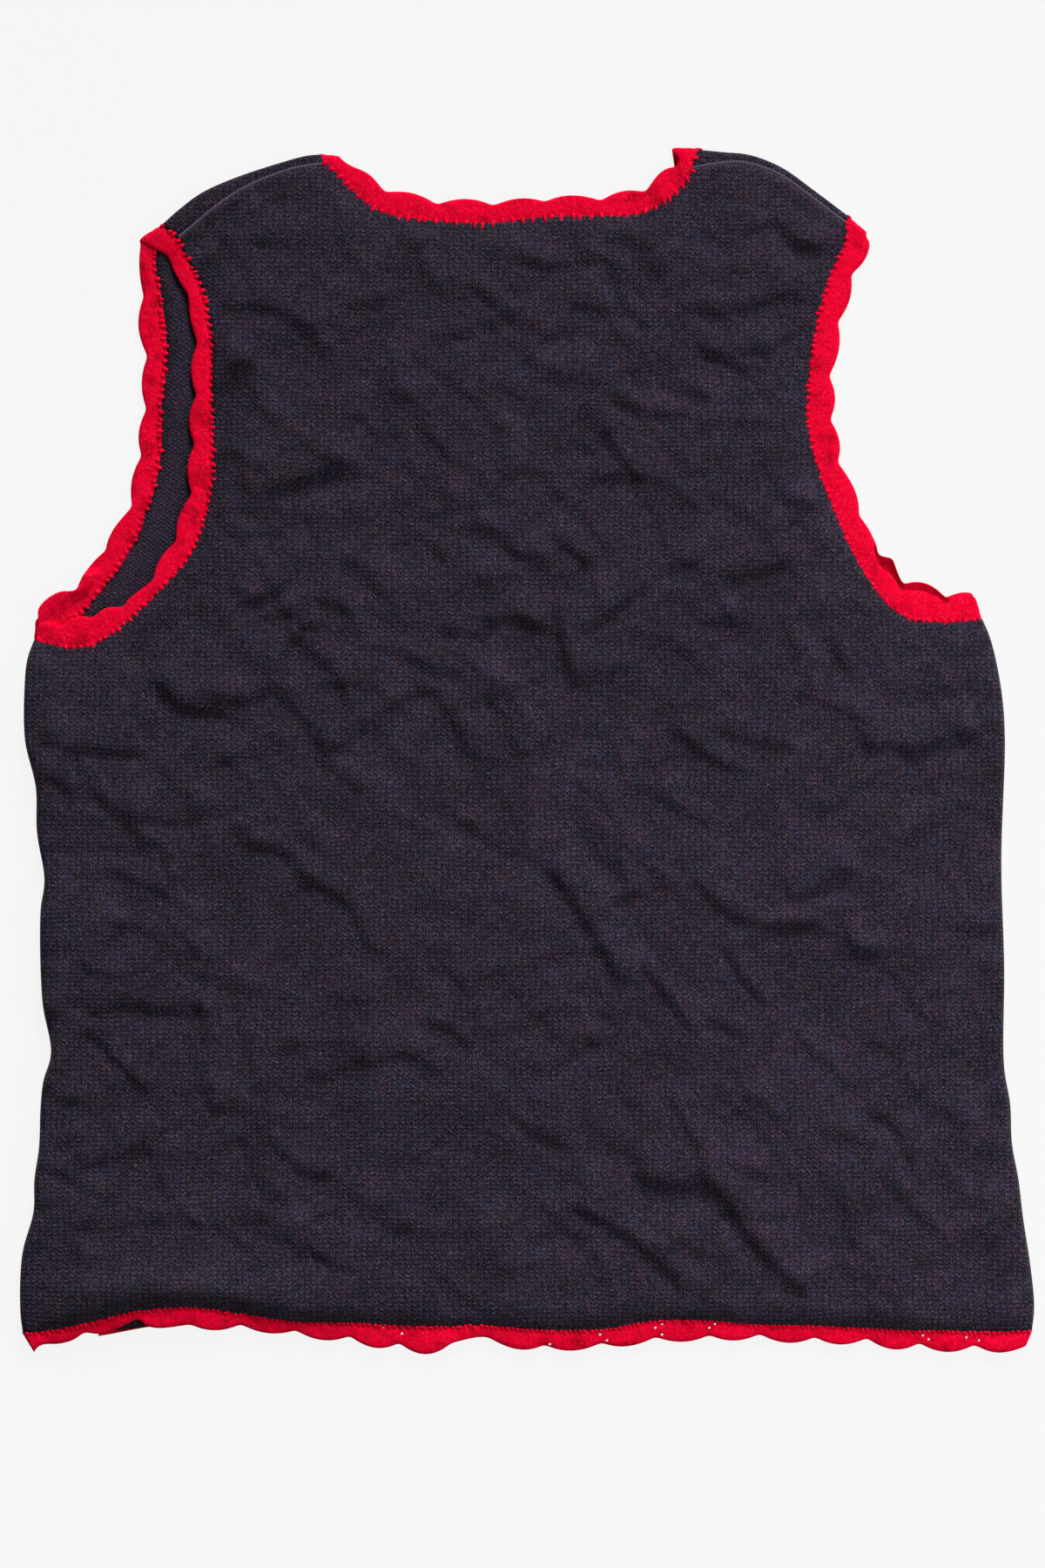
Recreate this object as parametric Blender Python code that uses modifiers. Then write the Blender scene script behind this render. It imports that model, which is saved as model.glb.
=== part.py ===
"""A sleeveless knitted vest with a crocheted scallop edging, laid flat with its back up.

The frame is in metres: +X to the right and +Y towards the neck of the laid garment, +Z up from the
surface that it lies on. The origin lies on that surface, below the middle of the garment. The back
lies on the front. At the shoulders the front runs over the fold to a seam on the back, and the
edgings are rings that run over the same folds.
"""

import math

import bmesh
import bpy
import numpy as np
from mathutils import Vector
from mathutils.geometry import delaunay_2d_cdt

# Sizes, in millimetres
MM = 0.001
KNIT_WALL = 1.8  # thickness of the knitted fabric
EDGING_WALL = 2.0  # thickness of the crocheted edging
SEAM_GAP = 0.3  # between pieces that are sewn together
BACK_TOP = 5.6  # height of the back's outer face over the surface
EDGE_TOP = 4.4  # the same at the hem, neck and armholes
EDGE_BLEND = 32.0  # width over which the back drops from one to the other
BACK_EDGING_MID = EDGE_TOP - EDGING_WALL / 2
FRONT_EDGING_MID = EDGING_WALL / 2
SIDE_MID = 2.4  # height at which back and front meet at the sides
SIDE_GAP = 1.7  # between their outer faces there, which leaves a seam gap between their inner faces
SIDE_ROUND = 2.6  # width of the rounding there
SHOULDER_ROUND = EDGE_TOP / 2  # outer radius of the fold over the shoulder
SIDE_RINGS = (0.0, 0.04, 0.3, 1.0)  # rows of points across a side's rounding, as shares of it
BACK_GRID = 16.0  # spacing of the back's points
FRONT_GRID = 34.0
SIDE_STEP = 11.0
EDGING_STEP = 5.2
SCALLOP_ROUND = 0.8  # power of the sine that shapes a scallop; under 1 it is fuller
CLEAR_OF_OUTLINE = 0.45  # a grid point keeps this share of the spacing from an outline,
CLEAR_OF_POINT = 0.55  # this share from a point placed by hand,
CLEAR_OF_FOLD = 0.4  # and the points of the folds keep this share from each other
CLEAR_OF_HEM = 3.0
TUCK_LIFT = 2.3  # the front and back lie this much higher over the tucked stretch of hem edging
TUCK_BOX = (-228.0, -170.0, -286.0)  # left, right and upper limit of that stretch
TUCK_BLEND = 24.0

# Colours, as linear red, green and blue
KNIT_COLOUR = (0.026, 0.019, 0.032, 1.0)
EDGING_COLOUR = (0.694, 0.002, 0.018, 1.0)

# Sides of back and front, from the hem up: x, y
LEFT_SIDE = (
    (-259.0, -301.5),
    (-262.5, -292.0),
    (-261.5, -260.5),
    (-255.0, -238.0),
    (-252.0, -184.0),
    (-246.0, -157.0),
    (-251.0, -130.0),
    (-252.0, -89.5),
    (-250.0, -67.0),
    (-254.0, -22.0),
    (-260.0, 9.5),
    (-260.0, 32.0),
    (-255.5, 57.0),
)
RIGHT_SIDE = (
    (259.0, -300.5),
    (262.0, -287.5),
    (259.5, -265.0),
    (251.5, -215.5),
    (250.0, -184.0),
    (246.0, -161.5),
    (245.0, -89.5),
    (244.5, -58.0),
    (246.5, 7.5),
    (245.5, 32.0),
    (241.0, 57.0),
    (235.0, 68.5),
)

# Shoulders, from the neck out: fold x, fold y, seam x, seam y
LEFT_SHOULDER = (
    (-106.0, 307.8, -103.5, 300.5),
    (-114.0, 307.7, -113.0, 299.5),
    (-128.0, 304.0, -126.0, 297.0),
    (-152.0, 296.0, -147.5, 290.0),
    (-169.0, 287.5, -163.0, 279.0),
    (-183.5, 275.5, -177.0, 267.0),
)
RIGHT_SHOULDER = (
    (87.0, 310.5, 84.0, 298.0),
    (101.0, 309.5, 99.0, 300.0),
    (115.0, 308.0, 114.0, 299.5),
    (131.5, 301.5, 130.0, 294.5),
    (147.5, 289.0, 145.5, 284.0),
    (165.5, 274.5, 161.5, 269.5),
)

# Edgings. Each row is a point of the ring: level, tip x, tip y, base x, base y, rise. The tip is on the
# scalloped edge and the base on the panel. A rise is how far the scallop that starts there stands out
# past the line to the next row with a rise, and a row without one is only a point that the ring passes.
LEFT_ARMHOLE = (
    ("side", -255.0, 67.5, -255.5, 57.0, None),
    ("back", -240.0, 64.5, -237.5, 53.5, 3.6),
    ("back", -225.0, 68.0, -222.5, 56.0, 3.6),
    ("back", -208.5, 74.0, -203.5, 70.5, 3.8),
    ("back", -193.5, 88.0, -183.5, 90.0, 3.8),
    ("back", -181.5, 108.0, -172.5, 105.0, 3.8),
    ("back", -173.5, 132.5, -164.0, 132.5, 3.8),
    ("back", -172.0, 158.0, -163.0, 158.0, 3.8),
    ("back", -171.0, 183.5, -163.5, 183.5, 3.8),
    ("back", -172.0, 210.5, -163.5, 210.5, 3.8),
    ("back", -177.0, 235.5, -168.5, 237.5, 3.8),
    ("back", -188.5, 256.5, -175.5, 256.5, 3.0),
    ("back", -193.5, 261.0, -177.0, 267.0, None),
    ("shoulder", -197.5, 265.5, -183.5, 275.5, None),
    ("front", -200.0, 260.0, -186.5, 257.5, 3.0),
    ("front", -198.5, 234.5, -190.5, 234.5, 3.4),
    ("front", -196.5, 204.0, -188.0, 204.0, 3.4),
    ("front", -197.0, 176.5, -190.5, 176.5, 3.4),
    ("front", -199.5, 152.5, -191.0, 152.5, 3.8),
    ("front", -204.5, 126.0, -197.0, 126.0, 3.8),
    ("front", -218.0, 103.5, -207.0, 103.5, 3.8),
    ("front", -233.5, 83.5, -221.0, 83.5, 3.8),
    ("front", -248.0, 73.5, -237.5, 63.5, 1.0),
)
RIGHT_ARMHOLE = (
    ("side", 232.5, 77.0, 235.0, 68.5, None),
    ("back", 215.5, 79.5, 215.0, 67.0, 3.6),
    ("back", 194.0, 85.0, 192.0, 71.5, 3.8),
    ("back", 182.0, 99.0, 171.5, 97.0, 3.8),
    ("back", 171.0, 121.5, 160.0, 121.5, 3.8),
    ("back", 160.0, 149.0, 149.5, 149.0, 3.8),
    ("back", 156.0, 171.0, 145.0, 171.0, 3.8),
    ("back", 155.5, 193.5, 146.0, 193.5, 3.8),
    ("back", 160.0, 221.5, 150.0, 221.5, 3.8),
    ("back", 167.0, 245.5, 156.5, 245.5, 3.4),
    ("back", 173.0, 260.0, 161.5, 269.5, None),
    ("shoulder", 176.0, 266.0, 165.5, 274.5, None),
    ("front", 167.0, 246.5, 156.0, 243.5, 3.4),
    ("front", 159.0, 221.5, 149.0, 221.5, 3.8),
    ("front", 155.0, 193.5, 145.5, 193.5, 3.8),
    ("front", 155.0, 171.0, 144.0, 171.0, 3.8),
    ("front", 159.5, 149.0, 148.5, 149.0, 3.8),
    ("front", 170.0, 121.5, 159.5, 121.5, 5.0),
    ("front", 182.5, 100.0, 173.0, 96.0, 6.5),
    ("front", 196.0, 86.5, 193.5, 71.5, 5.5),
    ("front", 216.0, 80.5, 215.0, 67.5, 3.6),
)
NECK = (
    ("shoulder", 77.5, 311.0, 87.0, 310.5, None),
    ("back", 75.5, 304.0, 84.0, 298.0, None),
    ("back", 76.5, 300.0, 80.5, 292.0, 3.5),
    ("back", 61.0, 288.5, 62.0, 279.0, 4.0),
    ("back", 38.0, 284.0, 38.0, 276.5, 3.5),
    ("back", 9.0, 283.5, 10.0, 276.0, 3.0),
    ("back", -18.0, 281.5, -18.0, 273.0, 4.0),
    ("back", -47.0, 282.0, -47.5, 274.0, 4.0),
    ("back", -74.0, 288.5, -78.0, 280.0, 2.5),
    ("back", -94.5, 302.0, -103.5, 300.5, None),
    ("shoulder", -98.0, 307.0, -106.0, 307.8, 1.0),
    ("front", -91.5, 283.5, -101.0, 280.5, 3.5),
    ("front", -78.5, 257.0, -87.5, 252.5, 3.5),
    ("front", -59.0, 232.5, -66.5, 225.0, 3.5),
    ("front", -34.0, 217.5, -38.0, 207.5, 3.5),
    ("front", -7.0, 213.0, -7.0, 203.0, 3.5),
    ("front", 20.0, 217.5, 23.0, 207.5, 3.5),
    ("front", 44.5, 230.0, 52.0, 222.0, 3.5),
    ("front", 62.5, 252.5, 73.0, 249.0, 3.5),
    ("front", 74.0, 282.0, 83.5, 280.5, 3.5),
)
HEM_BACK = (
    ("back", -256.5, -310.0, -259.0, -301.5, -0.5),
    ("back", -228.0, -300.5, -229.5, -296.5, 4.0),
    ("back", -201.5, -293.5, -200.5, -289.5, 2.7),
    ("back", -174.0, -296.5, -174.0, -288.0, 3.5),
    ("back", -148.5, -296.5, -148.5, -291.5, 3.5),
    ("back", -120.0, -299.5, -120.0, -295.5, 4.0),
    ("back", -92.0, -302.5, -92.0, -296.0, 4.5),
    ("back", -66.5, -306.0, -66.5, -297.5, 5.5),
    ("back", -40.0, -306.5, -40.0, -298.0, -0.8),
    ("back", -20.0, -303.5, -20.0, -297.5, 4.5),
    ("back", 8.5, -307.0, 8.5, -300.0, 3.5),
    ("back", 38.0, -306.0, 38.0, -299.5, 3.5),
    ("back", 66.0, -303.0, 65.5, -295.0, 3.5),
    ("back", 94.0, -302.0, 94.0, -295.0, 3.5),
    ("back", 120.0, -301.5, 120.0, -297.0, 4.2),
    ("back", 148.5, -303.0, 148.5, -297.5, 4.0),
    ("back", 175.5, -303.5, 175.5, -299.0, 5.0),
    ("back", 202.5, -306.0, 202.5, -300.0, 4.5),
    ("back", 231.0, -307.0, 231.0, -300.5, 4.0),
    ("back", 256.5, -308.0, 259.0, -300.5, None),
)
HEM_FRONT_LEFT = (
    ("front", -255.0, -309.0, -258.5, -301.5, -0.5),
    ("front", -233.0, -301.0, -233.5, -297.7, None),
)
HEM_FRONT_TUCKED = (
    ("front", -220.0, -291.0, -221.0, -300.5, 2.5),
    ("front", -196.5, -288.5, -196.5, -297.3, 2.5),
    ("front", -177.0, -288.0, -177.5, -296.5, None),
)
HEM_FRONT_START = (("front", -165.0, -294.5, -166.0, -289.8, 3.0),)
FIRST_HEM_ROW_ON_RIGHT = 4  # from this row on, the front's hem edging lies straight below the back's
TUCKED_EDGE = ((-231.0, -297.5), (-222.5, -300.7), (-208.5, -299.3), (-196.0, -297.5), (-176.0, -296.5))

# Largest folds of the back: x and y of both ends, half width, height. Each is a soft ridge along the
# upper side of the line with a shallower trough below it.
FOLDS = (
    (-135.5, 131.0, -101.5, 142.5, 11.0, 2.2),
    (-187.0, 30.0, -160.0, 16.5, 8.0, 1.4),
    (-160.0, 16.5, -146.5, -8.5, 8.0, 1.4),
    (-245.5, 2.0, -203.0, 2.0, 8.0, 1.4),
    (-248.0, -15.0, -205.0, -35.5, 9.0, 1.6),
    (-205.0, -35.5, -169.0, -35.5, 9.0, 1.6),
    (-236.5, -118.5, -214.0, -100.5, 8.0, 1.3),
    (-99.5, -10.5, -79.0, -26.5, 8.0, 1.3),
    (15.5, -67.0, 46.0, -116.5, 9.0, 2.0),
    (60.5, -26.5, 110.0, -89.5, 9.0, 2.0),
    (110.0, -89.5, 152.5, -94.0, 9.0, 2.0),
    (143.5, -76.0, 170.5, -64.5, 8.0, 2.0),
    (159.5, -82.5, 177.5, -105.0, 8.0, 1.4),
    (177.5, 3.0, 227.0, 7.5, 9.0, 2.0),
    (60.5, -224.5, 96.5, -231.0, 9.0, 1.8),
    (96.5, -231.0, 128.0, -265.0, 9.0, 1.8),
    (24.5, -235.5, 78.5, -274.0, 9.0, 1.6),
    (76.0, -179.5, 89.5, -220.0, 9.0, 1.4),
    (33.5, 64.5, 74.0, 95.0, 9.0, 1.4),
    (83.0, 99.5, 146.0, 129.0, 10.0, 1.5),
    (40.0, 165.0, 58.0, 142.5, 8.0, 1.4),
    (58.0, 142.5, 87.5, 126.5, 8.0, 1.4),
    (-101.5, -4.0, -52.0, 32.0, 12.0, 1.5),
    (-124.0, 54.5, -101.5, 36.5, 9.0, 1.2),
    (-124.0, 21.0, -104.0, 0.5, 9.0, 1.2),
    (-88.0, 95.0, -70.0, 72.5, 9.0, 1.2),
    (177.5, -188.5, 200.0, -220.0, 9.0, 1.2),
    (-227.5, -143.5, -205.0, -170.5, 9.0, 1.2),
    (-124.0, -211.0, -79.0, -229.0, 10.0, 1.2),
    (-74.5, 207.5, -56.5, 176.0, 10.0, 1.2),
)
FOLD_RIDGE_AT = 0.6  # distance of the ridge and the trough from the line, in half widths
FOLD_TROUGH_SHARE = 0.35
FOLD_ROWS = (-1.6, -0.6, 0.6, 1.6)  # rows of points across a fold, in half widths
FOLD_END = 12.0  # length over which a fold fades out past its ends


def clear_scene():
    for item in list(bpy.data.objects):
        bpy.data.objects.remove(item, do_unlink=True)


def spline(points, step, closed=False):
    """A smooth curve through the points: about one sample for each step of its plan, and one on each point."""
    points = np.array(points, float)
    if closed:
        points = np.vstack([points, points[:1]])
    spans = np.diff(points, axis=0)
    knots = np.sqrt(np.maximum(np.linalg.norm(spans, axis=1), 1e-6))
    speeds = spans / knots[:, None]
    slopes = np.vstack([speeds[:1], speeds[-1:]])
    if closed:
        joint = (speeds[-1] * knots[0] + speeds[0] * knots[-1]) / (knots[0] + knots[-1])
        slopes = np.vstack([joint, joint])
    before, after = knots[:-1, None], knots[1:, None]
    inner = (speeds[:-1] * after + speeds[1:] * before) / (before + after)
    slopes = np.vstack([slopes[:1], inner, slopes[1:]])
    samples = []
    for start, span, knot, here, there in zip(points, spans, knots, slopes, slopes[1:]):
        count = max(1, round(float(np.linalg.norm(span[:2])) / step))
        for number in range(count):
            t = number / count
            bend = (t - 2 * t**2 + t**3) * knot * here - (t**2 - t**3) * knot * there
            samples.append(start + (3 * t**2 - 2 * t**3) * span + bend)
    if not closed:
        samples.append(points[-1])
    return np.array(samples)


def smoothstep(share):
    share = np.clip(share, 0.0, 1.0)
    return share * share * (3 - 2 * share)


def unit(vector):
    return vector / np.linalg.norm(vector)


def distance_to(path, places):
    """How far each place lies from a line of points."""
    nearest = np.full(len(places), np.inf)
    for start, end in zip(path, path[1:]):
        along = end - start
        length = max(float(along @ along), 1e-12)
        share = np.clip((places - start) @ along / length, 0.0, 1.0)
        gap = np.linalg.norm(places - start - share[:, None] * along, axis=1)
        nearest = np.minimum(nearest, gap)
    return nearest


def inside(outline, places):
    """Which places lie inside a closed outline."""
    x, y = places[:, 0], places[:, 1]
    odd = np.zeros(len(places), bool)
    for (x0, y0), (x1, y1) in zip(outline, np.roll(outline, -1, axis=0)):
        if y0 == y1:
            continue
        crosses = (y0 > y) != (y1 > y)
        odd ^= crosses & (x < x0 + (y - y0) * (x1 - x0) / (y1 - y0))
    return odd


def tuck_lift(places):
    """How much the stretch of hem that lies on the tucked edging is raised."""
    left, right, upper = TUCK_BOX
    x, y = places[:, 0], places[:, 1]
    across = np.maximum(np.maximum(left - x, x - right), 0.0)
    return TUCK_LIFT * (1 - smoothstep(across / TUCK_BLEND)) * (1 - smoothstep((y - upper) / TUCK_BLEND))


def fold_height(places):
    """The soft ridges and troughs of the back's folds."""
    height = np.zeros(len(places))
    for x0, y0, x1, y1, half_width, rise in FOLDS:
        start, end = np.array((x0, y0)), np.array((x1, y1))
        length = float(np.linalg.norm(end - start))
        along = (end - start) / length
        up = np.array((-along[1], along[0]))
        if up[1] < 0:
            up = -up
        run = (places - start) @ along
        side = (places - start) @ up / half_width
        past = np.maximum(np.maximum(-run, run - length), 0.0)
        fade = 1 - smoothstep(past / FOLD_END)
        ridge = np.exp(-((side - FOLD_RIDGE_AT) ** 2))
        trough = np.exp(-((side + FOLD_RIDGE_AT) ** 2))
        height += rise * fade * (ridge - FOLD_TROUGH_SHARE * trough)
    return height


def side_rounding(sides, places):
    """How far a panel has risen from the sides' seam to its full height, from 0 to 1."""
    share = np.clip(np.minimum(*(distance_to(side, places) for side in sides)) / SIDE_ROUND, 0.0, 1.0)
    return np.sqrt(np.maximum(1 - (1 - share) ** 2, 0.0))


def ring_points(rows):
    """The rows of an edging as points tip x, y, base x, y, z and rise, with five points over each fold."""
    bases = np.array([row[3:5] for row in rows])
    points = []
    for number, (level, tip_x, tip_y, base_x, base_y, rise) in enumerate(rows):
        tip, base = np.array((tip_x, tip_y)), np.array((base_x, base_y))
        z = BACK_EDGING_MID if level == "back" else FRONT_EDGING_MID
        if level not in ("shoulder", "side"):
            points.append((level, *tip, *base, z, rise))
            continue
        along = unit(tip - base)
        inward = np.array((-along[1], along[0]))
        around = bases[number - 1] + bases[(number + 1) % len(rows)] - 2 * base
        if inward @ around < 0:
            inward = -inward
        middle = (BACK_EDGING_MID + FRONT_EDGING_MID) / 2
        radius = (BACK_EDGING_MID - FRONT_EDGING_MID) / 2
        following = rows[(number + 1) % len(rows)][0]
        from_back = 1 if following == "front" else -1
        for turn in (90, 45, 0, -45, -90):
            angle = math.radians(turn * from_back)
            inset = inward * (EDGING_WALL / 2 + radius * (1 - math.cos(angle)))
            height = middle + radius * math.sin(angle)
            joined = turn == -90 and (level == "side" or following == "front")
            label = following if joined else "fold"
            points.append((label, *(tip + inset), *(base + inset), height, rise if turn == 0 else None))
    return points


def edging_stations(rows, closed):
    """Stations along an edging: level, base, tip with its scallop, and height, all at the same places."""
    points = ring_points(rows)
    first = next(number for number, point in enumerate(points) if point[-1] is not None)
    if closed:
        points = points[first:] + points[:first]
    samples = spline([point[1:6] for point in points], EDGING_STEP, closed)
    values = np.array([point[1:3] for point in points])
    runs = np.linalg.norm(np.roll(values, -1, axis=0) - values, axis=1)
    counts = [max(1, round(float(run) / EDGING_STEP)) for run in runs]
    if not closed:
        counts[-1] = 1
    index = np.concatenate([[0], np.cumsum(counts)])
    levels = [point[0] for point, count in zip(points, counts) for _ in range(count)]
    starts = [number for number, point in enumerate(points) if point[-1] is not None]
    last = index[-1] if closed else index[-2]
    marks = [index[number] for number in starts] + [last]
    tips, bases = samples[:, 0:2].copy(), samples[:, 2:4]
    heights = np.clip(samples[:, 4], FRONT_EDGING_MID, BACK_EDGING_MID)
    for start, begin, end in zip(starts, marks, marks[1:]):
        span = np.arange(begin, end + 1)
        line = samples[span % len(samples)]
        steps = np.linalg.norm(np.diff(line[:, [0, 1, 4]], axis=0), axis=1)
        share = np.concatenate([[0.0], np.cumsum(steps)]) / steps.sum()
        for place, part in zip(span[1:-1], share[1:-1]):
            outward = unit(samples[place, 0:2] - samples[place, 2:4])
            tips[place] += outward * points[start][-1] * math.sin(math.pi * part) ** SCALLOP_ROUND
    return {"level": levels, "base": bases, "tip": tips, "z": heights}


def panel_edge(stations, level):
    """The edge of the panel that an edging is worked on, a seam gap away from the edging's base."""
    levels = stations["level"]
    count = len(levels)
    starts = (number for number in range(count) if levels[number] == level != levels[number - 1])
    first = next(starts, 0)
    edge = []
    for number in ((first + step) % count for step in range(count)):
        if levels[number] == level:
            base, tip = stations["base"][number], stations["tip"][number]
            edge.append(base - unit(tip - base) * SEAM_GAP)
    return np.array(edge)


def sheet_points(outline, extra, spacing):
    """Points inside an outline: those given, and a triangular grid that keeps clear of them."""
    low, high = outline.min(axis=0), outline.max(axis=0)
    row_height = spacing * math.sqrt(3) / 2
    grid = [
        (low[0] + spacing * (column + 0.5 * (row % 2)), low[1] + row_height * row)
        for row in range(int((high[1] - low[1]) / row_height) + 2)
        for column in range(int((high[0] - low[0]) / spacing) + 2)
    ]
    grid = np.array(grid)
    grid = grid[inside(outline, grid)]
    closed = np.vstack([outline, outline[:1]])
    grid = grid[distance_to(closed, grid) > CLEAR_OF_OUTLINE * spacing]
    if len(extra):
        extra = extra[inside(outline, extra)]
        apart = np.linalg.norm(grid[:, None] - extra[None], axis=2).min(axis=1)
        grid = np.vstack([extra, grid[apart > CLEAR_OF_POINT * spacing]])
    return grid


def triangulated(outline, points):
    """Places and triangles that fill an outline through the points inside it."""
    places = [Vector(place) for place in np.vstack([outline, points])]
    loop = list(range(len(outline)))
    found = delaunay_2d_cdt(places, [], [loop], 1, 1e-4)
    return np.array([tuple(place) for place in found[0]]), [tuple(face) for face in found[2]]


def make_material(name, colour, roughness):
    material = bpy.data.materials.new(name)
    material.use_nodes = True
    shader = material.node_tree.nodes["Principled BSDF"]
    shader.inputs["Base Color"].default_value = colour
    shader.inputs["Roughness"].default_value = roughness
    shader.inputs["Metallic"].default_value = 0.0
    return material


def make_piece(name, points, faces, wall, offset, upward, material, collection):
    """One piece of cloth: a surface through the points in millimetres, given its wall by Solidify."""
    mesh = bpy.data.meshes.new(name)
    mesh.from_pydata([tuple(point) for point in np.array(points) * MM], [], faces)
    shape = bmesh.new()
    shape.from_mesh(mesh)
    bmesh.ops.remove_doubles(shape, verts=shape.verts, dist=0.00001)
    bmesh.ops.recalc_face_normals(shape, faces=shape.faces)
    tilt = sum(face.normal.z * face.calc_area() for face in shape.faces)
    if (tilt > 0) != upward:
        bmesh.ops.reverse_faces(shape, faces=shape.faces)
    shape.to_mesh(mesh)
    shape.free()
    mesh.shade_smooth()
    mesh.materials.append(material)
    piece = bpy.data.objects.new(name, mesh)
    collection.objects.link(piece)
    solid = piece.modifiers.new("wall", "SOLIDIFY")
    solid.thickness = wall * MM
    solid.offset = offset
    solid.use_even_offset = offset != 0.0
    return piece


def make_edging(name, stations, closed, material, collection):
    """A strip from the base to the scalloped tips, lofted through the stations of its ring."""
    lift = 0.0 if name == "hem_edging_front_tucked" else tuck_lift(stations["base"])
    rows = []
    for base, tip, z in zip(stations["base"], stations["tip"], stations["z"] + lift):
        rows += [(*base, z), (*((base + tip) / 2), z), (*tip, z)]
    count = len(stations["z"])
    faces = []
    for number in range(count if closed else count - 1):
        here, there = 3 * number, 3 * ((number + 1) % count)
        for column in (0, 1):
            faces.append((here + column, here + column + 1, there + column + 1, there + column))
    return make_piece(name, rows, faces, EDGING_WALL, 0.0, True, material, collection)


def side_and_corners(side, hem, armhole):
    """A side from the hem to the armhole, with the points across its rounding at both ends."""
    shares = SIDE_ROUND * np.array(SIDE_RINGS[1:])[:, None]
    low = side[0] + unit(hem - side[0]) * shares[::-1]
    high = side[-1] + unit(armhole - side[-1]) * shares
    return np.vstack([low, side, high])


def side_ring_points(side):
    """Rows of points just inside a side, across its rounding."""
    rows = []
    tangents = np.gradient(side, axis=0)
    for place, tangent in zip(side[1:-1], tangents[1:-1]):
        inward = unit(np.array((-tangent[1], tangent[0])))
        if inward[0] * place[0] > 0:
            inward = -inward
        rows += [place + inward * SIDE_ROUND * share for share in SIDE_RINGS[1:]]
    return rows


def fold_points():
    """Points along the ridge, line and trough of each fold."""
    points = []
    for x0, y0, x1, y1, half_width, _ in FOLDS:
        start, end = np.array((x0, y0)), np.array((x1, y1))
        along = unit(end - start)
        up = np.array((-along[1], along[0]))
        count = max(2, round(float(np.linalg.norm(end - start)) / BACK_GRID) + 1)
        for share in np.linspace(0, 1, count):
            middle = start + (end - start) * share
            points += [middle + up * half_width * step for step in FOLD_ROWS]
    kept = []
    for point in points:
        if all(np.linalg.norm(point - other) > CLEAR_OF_FOLD * BACK_GRID for other in kept):
            kept.append(point)
    return kept


def tuck_points():
    """Points over the tucked stretch of hem edging and on the slopes round it."""
    left, right, upper = TUCK_BOX
    columns = np.arange(left - TUCK_BLEND, right + TUCK_BLEND + 1, TUCK_BLEND / 2)
    rows = np.arange(upper - TUCK_BLEND / 4, upper + TUCK_BLEND + 1, TUCK_BLEND / 4)
    return [np.array((x, y)) for x in columns for y in rows]


def shoulder_lines(rows):
    """Fold and seam of a shoulder, sampled at the same shares from the neck out, and the way in."""
    samples = spline(rows, SIDE_STEP)
    fold, seam = samples[:, 0:2], samples[:, 2:4]
    tangents = np.gradient(fold, axis=0)
    inward = np.array([unit(np.array((-t[1], t[0]))) for t in tangents])
    inward[inward[:, 1] > 0] *= -1
    for line in (fold, seam):
        line[0] += unit(line[1] - line[0]) * 2 * SEAM_GAP
        line[-1] += unit(line[-2] - line[-1]) * 2 * SEAM_GAP
    return fold, seam, inward


def back_panel(edges, sides, seams, material, collection):
    left, right = sides
    hem, right_edge, left_edge = edges["hem_back"][1:-1], edges["right_back"][1:], edges["left_back"][1:]
    outline = np.vstack([
        hem,
        side_and_corners(right, hem[-1], edges["right_back"][0]),
        right_edge,
        seams["right"][::-1][1:-1],
        edges["neck_back"],
        seams["left"][1:-1],
        left_edge[::-1],
        side_and_corners(left, hem[0], edges["left_back"][0])[::-1],
    ])
    extra = np.array(side_ring_points(left) + side_ring_points(right) + fold_points())
    extra = extra[distance_to(edges["hem_back"], extra) > CLEAR_OF_HEM]
    places, faces = triangulated(outline, sheet_points(outline, extra, BACK_GRID))
    borders = (
        edges["hem_back"],
        edges["right_back"],
        edges["neck_back"],
        edges["left_back"],
        seams["right"],
        seams["left"],
    )
    from_edge = np.min([distance_to(border, places) for border in borders], axis=0)
    rise = smoothstep(from_edge / EDGE_BLEND)
    full = EDGE_TOP + (BACK_TOP - EDGE_TOP + fold_height(places)) * rise
    foot = SIDE_MID + SIDE_GAP / 2
    z = foot + (full - foot) * side_rounding(sides, places) + tuck_lift(places)
    points = np.column_stack([places, z])
    return make_piece("back_panel", points, faces, KNIT_WALL, -1.0, True, material, collection)


def front_panel(edges, sides, shoulders, material, collection):
    left, right = sides
    round_starts = {}
    for side, (fold, _, inward) in shoulders.items():
        round_starts[side] = fold + inward * SHOULDER_ROUND
    hem = edges["hem_front"][1:-1]
    right_edge, left_edge = edges["right_front"][::-1][:-1], edges["left_front"][1:]
    outline = np.vstack([
        hem,
        side_and_corners(right, hem[-1], edges["right_back"][0]),
        right_edge,
        round_starts["right"][::-1],
        edges["neck_front"][::-1][:-1],
        round_starts["left"],
        left_edge,
        side_and_corners(left, hem[0], edges["left_back"][0])[::-1],
    ])
    extra = np.array(side_ring_points(left) + side_ring_points(right) + tuck_points())
    extra = extra[distance_to(edges["hem_front"], extra) > CLEAR_OF_HEM]
    places, faces = triangulated(outline, sheet_points(outline, extra, FRONT_GRID))
    z = (SIDE_MID - SIDE_GAP / 2) * (1 - side_rounding(sides, places)) + tuck_lift(places)
    points = [tuple(point) for point in np.column_stack([places, z])]
    for side, (fold, seam, inward) in shoulders.items():
        first = len(points)
        rows = []
        for place, stitch, way in zip(fold, seam, inward):
            row = []
            for turn in (-90, -45, 0, 45, 90):
                angle = math.radians(turn)
                spot = place + way * SHOULDER_ROUND * (1 - math.cos(angle))
                row.append((*spot, SHOULDER_ROUND * (1 + math.sin(angle))))
            row.append((*(stitch - way * SEAM_GAP), EDGE_TOP))
            rows.append(row)
        width = len(rows[0])
        for row in rows:
            points += row
        for number in range(len(rows) - 1):
            for column in range(width - 1):
                here = first + number * width + column
                faces.append((here, here + 1, here + width + 1, here + width))
    return make_piece("front_panel", points, faces, KNIT_WALL, -1.0, False, material, collection)


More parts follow.
